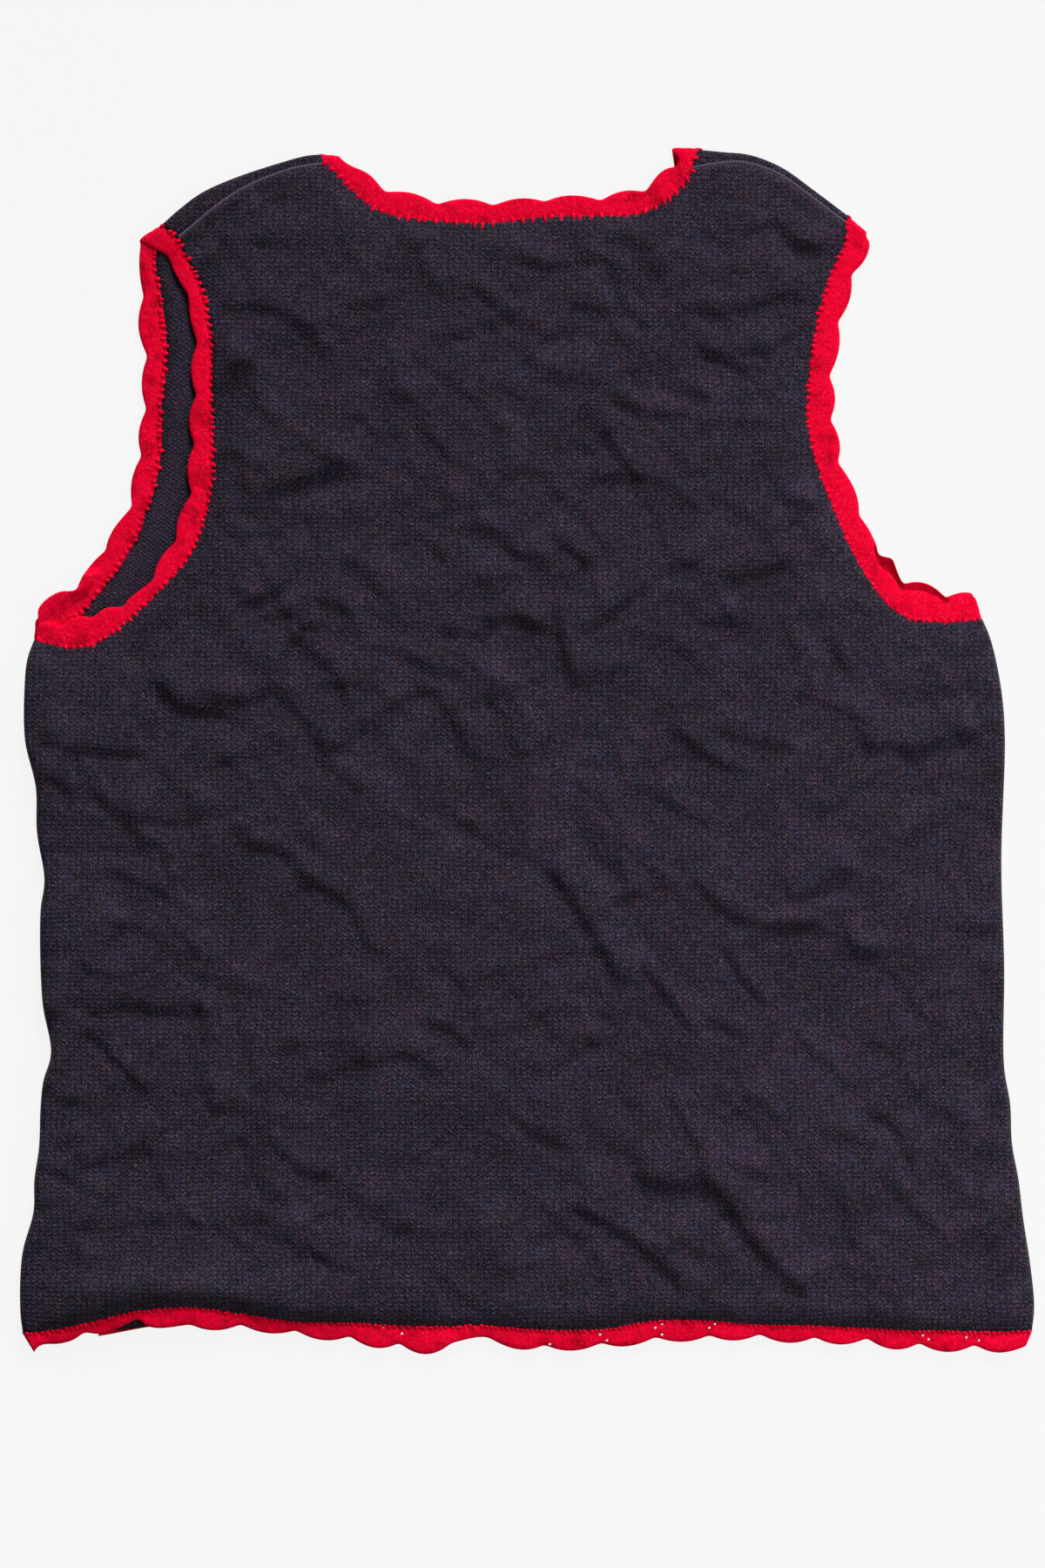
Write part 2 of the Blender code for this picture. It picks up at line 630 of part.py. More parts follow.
def main():
    clear_scene()
    collection = bpy.data.collections.new("knitted_vest")
    bpy.context.scene.collection.children.link(collection)
    knit = make_material("knit", KNIT_COLOUR, 0.9)
    crochet = make_material("crochet", EDGING_COLOUR, 0.85)
    rings = {
        "armhole_edging_left": edging_stations(LEFT_ARMHOLE, True),
        "armhole_edging_right": edging_stations(RIGHT_ARMHOLE, True),
        "neck_edging": edging_stations(NECK, True),
    }
    hem_front_right = HEM_FRONT_START + tuple(
        ("front", *row[1:]) for row in HEM_BACK[FIRST_HEM_ROW_ON_RIGHT:]
    )
    strips = {
        "hem_edging_back": edging_stations(HEM_BACK, False),
        "hem_edging_front_left": edging_stations(HEM_FRONT_LEFT, False),
        "hem_edging_front_tucked": edging_stations(HEM_FRONT_TUCKED, False),
        "hem_edging_front_right": edging_stations(hem_front_right, False),
    }
    for name, stations in rings.items():
        make_edging(name, stations, True, crochet, collection)
    for name, stations in strips.items():
        make_edging(name, stations, False, crochet, collection)
    sides = (spline(LEFT_SIDE, SIDE_STEP), spline(RIGHT_SIDE, SIDE_STEP))
    for side in sides:
        side[0, 1] += SEAM_GAP
        side[-1, 1] -= SEAM_GAP
    shoulders = {"left": shoulder_lines(LEFT_SHOULDER), "right": shoulder_lines(RIGHT_SHOULDER)}
    seams = {side: lines[1] for side, lines in shoulders.items()}
    hem_front = np.vstack([
        panel_edge(strips["hem_edging_front_left"], "front"),
        TUCKED_EDGE,
        panel_edge(strips["hem_edging_front_right"], "front"),
    ])
    edges = {
        "hem_back": panel_edge(strips["hem_edging_back"], "back"),
        "hem_front": hem_front,
        "left_back": panel_edge(rings["armhole_edging_left"], "back"),
        "left_front": panel_edge(rings["armhole_edging_left"], "front"),
        "right_back": panel_edge(rings["armhole_edging_right"], "back"),
        "right_front": panel_edge(rings["armhole_edging_right"], "front"),
        "neck_back": panel_edge(rings["neck_edging"], "back"),
        "neck_front": panel_edge(rings["neck_edging"], "front"),
    }
    back_panel(edges, sides, seams, knit, collection)
    front_panel(edges, sides, shoulders, knit, collection)


main()
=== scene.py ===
"""The looks of a knitted vest with a crocheted scallop edging, laid flat with its back up.

Lengths in the tables are millimetres and meshes are in metres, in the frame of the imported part: +X to the
right and +Y towards the neck of the laid garment, +Z up from the surface that it lies on.
"""

import math
import random

import bmesh
import bpy
import numpy as np
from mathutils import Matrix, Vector, noise
from mathutils.geometry import delaunay_2d_cdt


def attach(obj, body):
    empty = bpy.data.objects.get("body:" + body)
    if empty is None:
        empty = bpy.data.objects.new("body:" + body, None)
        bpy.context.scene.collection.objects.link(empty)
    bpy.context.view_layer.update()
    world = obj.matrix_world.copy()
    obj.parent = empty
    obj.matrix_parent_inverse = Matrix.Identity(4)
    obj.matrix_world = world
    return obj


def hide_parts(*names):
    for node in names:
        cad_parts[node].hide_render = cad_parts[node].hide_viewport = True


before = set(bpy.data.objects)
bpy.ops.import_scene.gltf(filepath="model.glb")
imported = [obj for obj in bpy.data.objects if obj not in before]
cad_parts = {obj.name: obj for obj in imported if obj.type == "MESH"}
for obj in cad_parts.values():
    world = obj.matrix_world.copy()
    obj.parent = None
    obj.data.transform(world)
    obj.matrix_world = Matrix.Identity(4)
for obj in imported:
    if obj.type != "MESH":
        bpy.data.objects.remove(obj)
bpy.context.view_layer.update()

# Sizes of the garment, in millimetres, as in its solids
MM = 0.001
KNIT_WALL = 1.6  # thickness of the knitted fabric
EDGING_WALL = 2.0  # thickness of the crocheted edging in the solids, which sets its folds
SEAM_GAP = 0.3  # between pieces that are sewn together
BACK_TOP = 5.6  # height of the back's outer face over the surface
EDGE_TOP = 4.4  # the same at the hem, neck and armholes
EDGE_BLEND = 32.0  # width over which the back drops from one to the other
BACK_EDGING_MID = EDGE_TOP - EDGING_WALL / 2
FRONT_EDGING_MID = EDGING_WALL / 2
SIDE_MID = 2.4  # height at which back and front meet at the sides
SIDE_GAP = 0.1  # between their outer faces there
SIDE_ROUND = 2.6  # width of the rounding there
SIDE_RINGS = (0.0, 0.03, 0.12, 0.3, 0.6, 1.0)  # rows of points across it, as shares of it
SHOULDER_ROUND = EDGE_TOP / 2  # outer radius of the fold over the shoulder
SHOULDER_TURNS = range(-90, 91, 18)  # points round that fold, in degrees
SCALLOP_ROUND = 0.8  # power of the sine that shapes a scallop; under 1 it is fuller
TUCK_LIFT = 2.3  # the front and back lie this much higher over the tucked stretch of hem edging
TUCK_BOX = (-228.0, -170.0, -286.0)  # left, right and upper limit of that stretch
TUCK_BLEND = 24.0

# Fineness of the meshes, in millimetres
BACK_GRID = 2.75
FRONT_GRID = 6.5
SIDE_STEP = 3.0
EDGING_STEP = 1.25
TIP_SOFTENING = 1.3  # points over which the scallops' valleys are rounded
CLEAR_OF_OUTLINE = 0.5  # a grid point keeps this share of the spacing from an outline

# Sides of back and front, from the hem up: x, y
LEFT_SIDE = (
    (-261.2, -301.5),
    (-262.5, -290.0),
    (-261.5, -260.5),
    (-255.6, -238.0),
    (-255.2, -222.0),
    (-252.8, -205.0),
    (-252.0, -184.0),
    (-250.6, -171.0),
    (-246.6, -156.5),
    (-251.0, -130.0),
    (-252.0, -83.0),
    (-250.0, -67.0),
    (-253.9, -42.0),
    (-254.5, -19.0),
    (-260.0, 5.0),
    (-260.4, 30.0),
    (-258.9, 47.0),
    (-255.5, 57.0),
)
RIGHT_SIDE = (
    (260.8, -300.5),
    (262.0, -287.5),
    (260.0, -266.0),
    (256.3, -242.0),
    (253.9, -222.0),
    (250.5, -203.0),
    (249.6, -183.0),
    (246.4, -163.0),
    (246.5, -112.0),
    (245.0, -58.0),
    (246.8, 7.5),
    (244.9, 32.0),
    (239.6, 57.0),
    (235.0, 68.5),
)

# Shoulders, from the neck out: fold x, fold y, seam x, seam y
LEFT_SHOULDER = (
    (-106.0, 308.3, -104.0, 303.2),
    (-114.0, 307.7, -113.0, 302.4),
    (-128.0, 304.0, -126.0, 299.4),
    (-152.0, 296.0, -148.5, 289.8),
    (-169.0, 288.3, -164.5, 278.7),
    (-180.0, 280.2, -173.5, 271.0),
    (-189.5, 271.8, -181.5, 264.5),
)
RIGHT_SHOULDER = (
    (87.0, 310.9, 84.5, 301.0),
    (101.0, 309.5, 99.0, 303.6),
    (115.0, 308.0, 112.5, 303.8),
    (131.5, 301.5, 129.8, 298.0),
    (147.5, 290.2, 145.8, 286.8),
    (166.9, 275.6, 164.6, 272.6),
)

# Edgings. Each row is a point of the ring: level, tip x, tip y, base x, base y, rise. The tip is on the
# scalloped edge and the base on the panel. A rise is how far the scallop that starts there stands out
# past the line to the next row with a rise, and a row without one is only a point that the ring passes.
LEFT_ARMHOLE = (
    ("side", -255.0, 67.5, -255.5, 57.0, None),
    ("back", -240.0, 64.5, -237.5, 53.5, 3.6),
    ("back", -225.0, 68.0, -222.5, 56.0, 3.6),
    ("back", -208.5, 74.0, -203.5, 70.5, 3.8),
    ("back", -193.5, 88.0, -183.5, 90.0, 3.8),
    ("back", -181.5, 108.0, -172.5, 105.0, 3.8),
    ("back", -173.5, 132.5, -164.0, 132.5, 3.8),
    ("back", -172.0, 158.0, -163.0, 158.0, 3.8),
    ("back", -171.0, 183.5, -163.5, 183.5, 3.8),
    ("back", -170.6, 210.5, -163.5, 210.5, 2.2),
    ("back", -175.6, 235.8, -168.5, 237.5, 1.8),
    ("back", -186.0, 255.0, -177.5, 256.5, 0.0),
    ("back", -192.5, 259.0, -181.5, 264.5, None),
    ("shoulder", -201.5, 264.6, -189.5, 271.8, None),
    ("front", -200.5, 259.0, -193.2, 257.0, 1.4),
    ("front", -198.5, 234.5, -190.5, 234.5, 4.2),
    ("front", -196.5, 204.0, -188.0, 204.0, 3.4),
    ("front", -197.0, 176.5, -190.5, 176.5, 3.4),
    ("front", -199.5, 152.5, -191.0, 152.5, 3.8),
    ("front", -204.5, 126.0, -197.0, 126.0, 3.8),
    ("front", -218.0, 103.5, -207.0, 103.5, 3.8),
    ("front", -233.0, 83.3, -221.0, 83.5, 0.6),
    ("front", -241.5, 82.0, -230.0, 73.0, None),
    ("front", -249.2, 77.2, -238.0, 65.5, None),
    ("front", -253.2, 71.5, -246.0, 60.5, None),
)
RIGHT_ARMHOLE = (
    ("side", 232.0, 79.5, 235.0, 68.5, None),
    ("back", 230.5, 80.5, 233.0, 68.0, 2.0),
    ("back", 215.0, 78.5, 214.0, 66.5, 2.8),
    ("back", 193.8, 83.0, 191.0, 71.8, 2.8),
    ("back", 181.4, 95.5, 172.5, 95.0, 3.6),
    ("back", 171.0, 121.5, 160.0, 121.5, 3.8),
    ("back", 160.0, 149.0, 149.5, 149.0, 3.8),
    ("back", 156.0, 171.0, 145.0, 171.0, 3.8),
    ("back", 155.5, 193.5, 146.0, 193.5, 3.8),
    ("back", 160.0, 221.5, 150.0, 221.5, 3.8),
    ("back", 167.2, 245.6, 156.8, 246.0, 0.5),
    ("back", 172.4, 251.2, 159.8, 252.5, None),
    ("back", 175.6, 257.2, 162.6, 258.5, None),
    ("back", 176.5, 262.6, 165.0, 264.8, None),
    ("shoulder", 175.7, 268.4, 166.9, 275.6, None),
    ("front", 167.0, 246.5, 156.0, 243.5, 3.4),
    ("front", 159.0, 221.5, 149.0, 221.5, 3.8),
    ("front", 155.0, 193.5, 145.5, 193.5, 3.8),
    ("front", 155.0, 171.0, 144.0, 171.0, 3.8),
    ("front", 159.5, 149.0, 148.5, 149.0, 3.8),
    ("front", 170.0, 121.5, 159.5, 121.5, 3.2),
    ("front", 181.0, 100.5, 173.0, 96.0, 6.2),
    ("front", 193.8, 85.4, 192.5, 71.5, 5.4),
    ("front", 215.5, 79.0, 214.5, 67.5, 0.2),
)
NECK = (
    ("shoulder", 72.6, 312.4, 87.0, 311.5, None),
    ("back", 77.3, 306.5, 84.6, 300.0, None),
    ("back", 76.4, 301.6, 81.5, 293.5, 4.6),
    ("back", 61.0, 288.5, 62.0, 279.0, 4.0),
    ("back", 38.0, 284.0, 38.0, 276.5, 3.5),
    ("back", 9.0, 283.5, 10.0, 276.0, 3.0),
    ("back", -18.0, 281.5, -18.0, 273.0, 4.0),
    ("back", -47.0, 282.0, -47.5, 274.0, 4.0),
    ("back", -74.0, 288.5, -78.0, 280.0, 4.6),
    ("back", -94.5, 302.0, -101.5, 301.3, None),
    ("shoulder", -97.5, 308.0, -106.0, 308.3, 1.0),
    ("front", -91.5, 283.5, -101.0, 280.5, 3.5),
    ("front", -78.5, 257.0, -87.5, 252.5, 3.5),
    ("front", -59.0, 232.5, -66.5, 225.0, 3.5),
    ("front", -34.0, 217.5, -38.0, 207.5, 3.5),
    ("front", -7.0, 213.0, -7.0, 203.0, 3.5),
    ("front", 20.0, 217.5, 23.0, 207.5, 3.5),
    ("front", 44.5, 230.0, 52.0, 222.0, 3.5),
    ("front", 62.5, 252.5, 73.0, 249.0, 3.5),
    ("front", 74.0, 282.0, 83.5, 280.5, -2.5),
)
HEM_BACK = (
    ("back", -255.3, -311.0, -261.0, -301.5, -0.5),
    ("back", -251.2, -307.2, -252.5, -300.6, 0.3),
    ("back", -242.0, -306.4, -243.0, -299.3, None),
    ("back", -234.5, -304.2, -236.0, -298.0, None),
    ("back", -228.6, -300.4, -229.5, -296.5, 5.0),
    ("back", -201.5, -293.3, -200.5, -289.5, 0.6),
    ("back", -195.8, -297.6, -195.0, -289.0, 0.5),
    ("back", -174.0, -296.5, -174.0, -288.0, 3.5),
    ("back", -148.5, -296.5, -148.5, -291.5, 3.5),
    ("back", -120.0, -299.5, -120.0, -295.5, 4.0),
    ("back", -92.0, -302.5, -92.0, -296.0, 4.5),
    ("back", -66.5, -306.0, -66.5, -297.5, 5.5),
    ("back", -40.0, -306.5, -40.0, -298.0, -0.8),
    ("back", -20.0, -303.5, -20.0, -297.5, 4.5),
    ("back", 8.5, -307.0, 8.5, -300.0, 3.5),
    ("back", 38.0, -306.0, 38.0, -299.5, 3.5),
    ("back", 66.0, -303.0, 65.5, -295.0, 3.5),
    ("back", 94.0, -302.0, 94.0, -295.0, 3.5),
    ("back", 120.0, -301.5, 120.0, -297.0, 4.2),
    ("back", 148.5, -303.0, 148.5, -297.5, 4.0),
    ("back", 175.5, -303.5, 175.5, -299.0, 5.0),
    ("back", 202.5, -306.0, 202.5, -300.0, 4.5),
    ("back", 231.0, -307.0, 231.0, -300.5, 4.0),
    ("back", 257.5, -308.0, 260.6, -300.5, None),
)
HEM_FRONT_LEFT = (
    ("front", -254.6, -308.6, -260.6, -301.5, -1.8),
    ("front", -233.0, -301.0, -233.5, -297.7, None),
)
HEM_FRONT_TUCKED = (
    ("front", -220.0, -291.0, -222.0, -301.8, 2.5),
    ("front", -196.5, -288.5, -196.5, -297.3, 2.5),
    ("front", -177.0, -288.0, -177.5, -296.5, None),
)
HEM_FRONT_START = (("front", -165.0, -294.5, -166.0, -289.8, 3.0),)
FIRST_HEM_ROW_ON_RIGHT = 8  # from this row on, the front's hem edging lies straight below the back's
TUCKED_EDGE = ((-231.0, -297.5), (-222.5, -300.7), (-208.5, -299.3), (-196.0, -297.5), (-176.0, -296.5))

# Creases of the back: half width, rise, and x, y of each point of the path. The path is the steep side that
# faces the hem. A ridge lies above it where the rise is over 0, and a trough below it where it is under 0.
CREASES = (
    # shoulders and upper left
    (3.5, -1.9, -176, 258, -167, 269, -157, 279, -143, 290),
    (2.5, 1.2, -167, 248, -160, 259, -150, 270, -140, 281),
    (9, 2.8, -139, 130, -125, 135, -110, 141, -94, 148),
    (4, 1.2, -158, 151, -149, 153, -138, 145),
    (4, 1, -167, 118, -155, 125, -142, 123),
    (8, 2.2, -160, 182, -154, 191, -144, 200),
    (5, 1.8, -114, 107, -117, 95, -126, 83, -143, 76),
    (4.5, 1.3, -126, 73, -118, 65, -121, 55, -130, 42),
    (4, 1, -105, 77, -96, 75, -91, 68),
    (7, 1.7, -93, 97, -83, 89, -70, 72),
    (4, 1.2, -73, 205, -68, 189, -56, 176),
    (4, 1, -80, 184, -85, 173, -78, 162),
    (4, 1, -151, 229, -129, 227, -113, 218),
    (4.5, 1.3, -106, 215, -95, 226, -75, 233),
    (3.5, 1.2, -100, 209, -89, 218, -81, 229),
    (3.5, 0.8, -110, 245, -104, 236, -105, 229),
    (5, 1.3, -26, 237, -17, 229, -7, 221, 3, 218),
    (2.5, -0.6, -50, 216, -34, 214),
    (3, -1.2, -24, 180, -14, 194, -7, 208),
    (3.5, -1, -50, 161, -39, 150, -27, 142),
    (8, 1.2, -33, 128, -21, 136, -7, 142),
    (3.5, 1, -10, 136, -6, 149, -3, 163),
    (3.5, 0.8, -89, 121, -82, 131, -74, 136),
    (5.5, 1.6, -26, 115, -16, 112, -8, 103, 0, 99),
    (4.5, -1.3, -71, 105, -57, 110, -43, 99),
    (4, 0.8, -49, 121, -32, 124, -20, 127),
    (4, 1, -24, 67, -9, 67, 5, 66),
    (4, 1, -42, 62, -27, 59),
    (5, 1, -88, 61, -76, 64),
    (4, 1, -73, 275, -68, 269, -63, 261),
    (4, 0.8, -163, 99, -155, 110, -151, 116),
    # upper right
    (4, 1, 89, 299, 105, 302, 126, 301),
    (4, 0.9, 89, 286, 111, 286),
    (3.5, 1, 117, 277, 126, 286, 133, 293),
    (4, 1.2, 93, 267, 103, 260, 112, 267, 129, 273),
    (5, 1.3, 132, 270, 138, 262, 148, 259, 155, 257),
    (6, 1.2, 65, 250, 73, 235, 81, 242),
    (4.5, 1.4, -3, 253, 15, 250, 34, 253),
    (4, 1.2, 41, 251, 33, 237, 23, 227, 15, 214),
    (4, 1.5, 43, 249, 48, 232, 58, 221),
    (4, 1, 26, 229, 43, 227),
    (8, 0.8, 20, 266, 42, 270, 58, 261, 63, 252),
    (5, 1.6, 82, 228, 102, 227, 131, 234),
    (6, 1.8, 134, 239, 141, 232, 149, 232),
    (4.5, 1.6, 113, 206, 128, 210, 144, 219),
    (4, 1.4, 92, 206, 105, 200, 116, 196, 124, 206),
    (4, 1, 71, 188, 88, 184),
    (3.5, 1.2, 47, 180, 63, 173, 79, 174),
    (3.5, 1.5, 40, 165, 47, 152, 55, 143),
    (4, 1.2, 40, 141, 63, 140, 77, 133, 86, 126),
    (4, 0.9, 85, 162, 97, 167, 111, 169, 124, 167),
    (5, 1.3, 2, 200, 19, 194, 32, 202),
    (4, 0.9, 26, 158, 33, 155, 38, 163),
    (5, 0.8, 8, 141, 14, 133),
    (3.5, 0.8, 91, 132, 101, 128, 110, 122),
    (5, 1.6, 132, 130, 147, 127),
    (5, 1.5, 151, 129, 139, 121, 127, 112),
    (4.5, 1.7, 33, 64, 51, 77, 74, 95),
    (4, 1.3, 82, 95, 91, 100, 102, 107),
    (5, 1.8, 109, 88, 122, 93, 135, 99),
    (4, 1.4, 15, 108, 22, 103, 28, 99),
    (5, 1.3, -4, 68, 9, 62),
    (4, 1.4, 14, 71, 18, 55, 21, 41),
    (5, 1, 132, 69, 135, 55, 144, 36),
    (4, 1, 138, 77, 145, 67, 153, 69),
    (4, 0.9, 154, 56, 162, 45),
    (4, 0.8, 181, 52, 189, 55),
    (4, 1, 93, 67, 100, 63, 106, 70),
    (5, 0.8, 16, 63, 22, 38),
    (4.5, -0.9, 31, 61, 45, 73),
    # middle left
    (5, 1.6, -248, 4, -228, 0, -202, -2),
    (6, 2.2, -190, 33, -179, 22, -159, 20),
    (4.5, 1.6, -160, 27, -142, 25, -133, 34, -128, 50, -117, 62),
    (4.5, 1.3, -116, 53, -101, 41, -94, 26),
    (4.5, 1.2, -127, 28, -115, 14, -106, 0),
    (6, -2, -100, 0, -75, 19, -54, 30),
    (4.5, 1.5, -102, -8, -90, -18),
    (6, 1, -154, -4, -141, -3),
    (7, 1.6, -250, -15, -220, -26, -207, -38),
    (6, 1.6, -206, -33, -183, -38, -166, -30),
    (4, 1.2, -199, -44, -189, -51, -186, -63),
    (4.5, 1, -215, -62, -191, -72),
    (5, 1.2, -246, -92, -234, -75),
    (7, 2, -240, -134, -232, -119, -223, -106, -209, -91),
    (4, 1.1, -185, -89, -171, -106),
    (4.5, 1.3, -145, -48, -129, -51, -117, -63),
    (4.5, 1.3, -118, -66, -94, -78, -83, -101),
    (4, 1.1, -35, 48, -18, 34),
    (4, 0.9, -49, 39, -38, 40),
    (3.5, 0.9, -10, 28, -2, 14),
    (3.5, 0.8, -37, 10, -32, 0),
    (4, 0.9, -50, 6, -53, -13),
    (4.5, 0.8, -41, -40, -25, -39),
    (5, 1.2, -221, -137, -204, -132, -181, -135),
    (4, 1, -171, -134, -162, -137),
    # middle right
    (6.5, 2.3, 177, 3, 204, 0, 227, 8),
    (4, 1.1, 227, 8, 243, 12),
    (4.5, 1.6, 157, -31, 171, -20, 187, -10),
    (6.5, 2.6, 141, -76, 154, -69, 166, -63),
    (4, 1.2, 157, -83, 171, -83, 182, -64),
    (4, 1.2, 161, -89, 171, -105, 178, -103),
    (5.5, 1.9, 87, -69, 108, -87, 132, -91, 153, -94),
    (5.5, 2, 13, -64, 29, -88, 46, -117),
    (3.5, 1.5, 62, -114, 72, -128, 83, -142),
    (4.5, 1.1, 87, -134, 96, -140, 108, -146),
    (3, 1.4, 103, -105, 112, -119, 120, -128),
    (4.5, 1.1, 37, -42, 51, -72, 42, -85),
    (4.5, 1.3, 78, 8, 101, -8, 112, -11),
    (4.5, 1.1, 100, 10, 117, 4, 133, 1),
    (4, 0.9, 60, -21, 88, -36),
    (3.5, 0.9, 157, 60, 163, 43),
    (4, 0.8, 188, -56, 200, -39),
    (4, 0.8, 222, -106, 241, -89),
    (4, 0.8, 208, -110, 216, -91),
    (3.5, 1.2, 213, -126, 220, -124),
    # lower left
    (5, 1.8, -227, -145, -236, -159, -244, -173),
    (3.5, 1.5, -225, -147, -214, -159, -202, -171),
    (4, 1.2, -240, -181, -229, -182),
    (4.5, 1.2, -181, -187, -174, -180, -170, -173, -164, -182),
    (3, 0.9, -147, -145, -144, -157, -142, -171),
    (3.5, 1.1, -119, -152, -129, -157, -135, -170, -143, -180),
    (4, 0.8, -161, -186, -146, -188, -133, -200),
    (6, 1, -246, -235, -234, -220, -223, -206),
    (3.5, 1, -226, -214, -205, -206, -180, -192),
    (4, 1.1, -129, -206, -120, -215, -105, -220),
    (4, 0.9, -82, -238, -72, -234, -65, -228),
    (5, 1.2, -80, -162, -63, -156, -51, -163),
    (3.5, 1.2, -50, -141, -39, -145, -34, -151),
    (5, 0.9, -100, -128, -83, -130),
    (3.5, 1.1, -39, -116, -27, -128, -19, -115),
    (4, 1.1, -132, -107, -141, -120, -147, -131),
    (4, 0.8, -190, -244, -160, -245, -137, -243),
    (3.5, 0.8, -158, -249, -142, -259),
    (4, 0.8, -134, -251, -117, -257, -101, -265, -85, -271),
    (4.5, 0.8, -75, -244, -57, -249, -34, -250, -11, -246),
    (4, 0.8, -239, -274, -230, -272, -225, -264),
    # lower right
    (4, 0.8, 28, -150, 39, -150),
    (3.5, 0.8, 143, -152, 153, -161, 162, -171),
    (4, 0.8, 177, -150, 193, -157, 198, -150),
    (3, 1.1, 73, -179, 83, -197, 89, -211, 91, -221),
    (4.5, 1.1, 118, -181, 127, -189),
    (3.5, 1.3, 179, -188, 191, -197, 196, -209, 199, -218),
    (4, 1, 206, -181, 216, -188, 228, -193),
    (3.5, 0.8, 159, -201, 180, -202),
    (4.5, 1.3, 186, -222, 198, -236, 212, -250),
    (4, 0.9, 235, -234, 243, -227),
    (3.5, 1, 252, -240, 244, -252),
    (5, 1.1, -3, -193, 18, -204),
    (8, 2.8, 59, -221, 78, -226, 94, -225, 105, -237),
    (6, 2.2, 107, -242, 117, -256, 126, -265, 140, -278),
    (3, 0.9, 140, -279, 153, -267),
    (5, 1.9, 28, -238, 48, -249, 63, -260, 78, -277),
    (4, 1, 107, -215, 124, -221),
    (3, 1, 76, -257, 90, -249),
    (3, 0.7, 85, -259, 102, -262),
    (4, 1, 121, -241, 129, -240),
    (4, 0.9, 39, -224, 20, -236, 6, -250),
    (4, 0.9, 179, -247, 189, -250),
)
CREASE_STRENGTH = 1.5  # factor on all these rises
CREASE_LIMITS = (-2.0, 4.6)  # lowest and highest sum of the creases
CREASE_STEP = 6.0  # spacing of the samples along a crease's path
CREASE_REACH = 2.6  # how far a crease's soft side runs, in half widths
CREASE_COUNTER = 0.3  # depth of the counter slope on its other side, as a share of the rise
CREASE_END = 9.0  # length over which a crease fades out past its ends
CREASE_EDGE_BLEND = 11.0  # width along the panel's edges in which the creases are weaker
CREASE_AT_EDGE = 0.12  # what is left of them at the edge
CREASE_SEAM_BLEND = 3.0  # width along the shoulder seams over which they set in
CREASE_STEEPNESS = 4.2  # of the side along the path, over half a width

# The back bulges over its hem edging and drops to it: x, rise of the bulge, width of the steep part
HEM_ROLL = (
    (-262.0, 0.6, 4.0),
    (-245.0, 1.6, 5.0),
    (-225.0, 2.8, 7.0),
    (-190.0, 3.6, 9.5),
    (-150.0, 3.6, 9.5),
    (-122.0, 3.0, 7.0),
    (-95.0, 1.8, 4.5),
    (-55.0, 1.3, 4.0),
    (0.0, 1.4, 4.0),
    (55.0, 1.6, 4.0),
    (100.0, 1.8, 4.5),
    (140.0, 1.6, 4.0),
    (195.0, 2.0, 4.5),
    (235.0, 1.4, 4.0),
    (262.0, 0.6, 4.0),
)
HEM_ROLL_FADE = 24.0  # width over which the bulge fades out above

# Seams over the shoulders: a fine ridge of slanted stitches, coloured lighter than the knit as a painted
# highlight
SEAM_PITCH = 1.7
SEAM_STITCH = (1.4, 0.85, 0.7)  # half length, half width and height
SEAM_TURN = 0.5  # slant to the seam's line, in radians
SEAM_SINK = 0.2  # how far their middle lies below the knit's face

# Short fine creases between the others
FINE_COUNT = 440
FINE_SEED = 5
FINE_ACROSS = (-255.0, 255.0)  # limits of their middles
FINE_UP = (-290.0, 295.0)
FINE_LENGTH = (14.0, 60.0)
FINE_HALF_WIDTH = (2.3, 4.2)
FINE_BOW = 0.12  # as a share of the length
FINE_SLOPE = (0.14, 0.32)  # rise over half width
FINE_TURNS = (-52, -38, 8, 35, 48)  # usual directions, in degrees
FINE_TURN_SCATTER = 14

# Small crumples between them: size, rise, direction in degrees
CRUMPLES = (
    (48.0, 2.0, 60.0),
    (27.0, 0.95, -20.0),
    (15.0, 0.32, 25.0),
    (9.0, 0.14, 115.0),
)

# Shallow troughs in the underside of the front, where it stands off the surface: half width, rise, and
# x, y of each point of the path
FRONT_CREASES = (
    (7.0, 0.9, -190, -30, -150, -45, -120, -40),
    (6.0, 0.7, -215, -95, -195, -130, -190, -165),
    (8.0, 1.0, -90, 20, -60, -15, -45, -60),
    (5.0, 0.6, -150, 70, -130, 40),
    (7.0, 0.9, 30, 60, 75, 40, 110, 45),
    (6.0, 0.8, 95, -30, 120, -75, 125, -110),
    (8.0, 1.0, 150, 5, 185, -20, 215, -22),
    (5.0, 0.6, -20, -100, 10, -130),
    (7.0, 0.8, -120, -170, -75, -195, -40, -190),
    (6.0, 0.7, 60, -170, 100, -200, 135, -245),
    (5.0, 0.7, 175, -140, 200, -175),
    (6.0, 0.8, -30, 150, 10, 130, 60, 145),
    (5.0, 0.6, 95, 190, 125, 165),
    (5.0, 0.6, -130, 210, -105, 180),
)

# Small things that show from close by, in millimetres
STITCHES = {  # of the edging's yarn over the knit: spacing, shortest and longest half length, height
    "neck": (4.7, 1.7, 2.7, 0.85),
    "armhole": (3.6, 1.1, 1.9, 0.7),
    "hem": (2.6, 0.6, 1.8, 0.55),
}
STITCH_WIDTH = (0.9, 1.3)  # smallest and largest half width
STITCH_TURN = 0.22  # scatter of their direction, in radians
UNSEEN_STITCHES = ("hem_edging_front_tucked", "hem_edging_front_left")  # turned under, with its stitches
STITCH_INSIDE = 0.75  # how far its middle lies within the edging
SHELL_STITCHES = 6  # in one scallop
SHELL_RIDGE = 0.16  # height of the ridge that each of them makes
EDGING_HALF = 1.05  # half the thickness of the edging at its middle
EDGING_ROOT = 0.62  # share of that at its base
EDGING_LUMP = 0.35  # unevenness of its faces
EDGING_SHARES = (-0.1, 0.0, 0.1, 0.24, 0.4, 0.56, 0.72, 0.85, 0.94, 0.985, 1.0)  # from base to tip
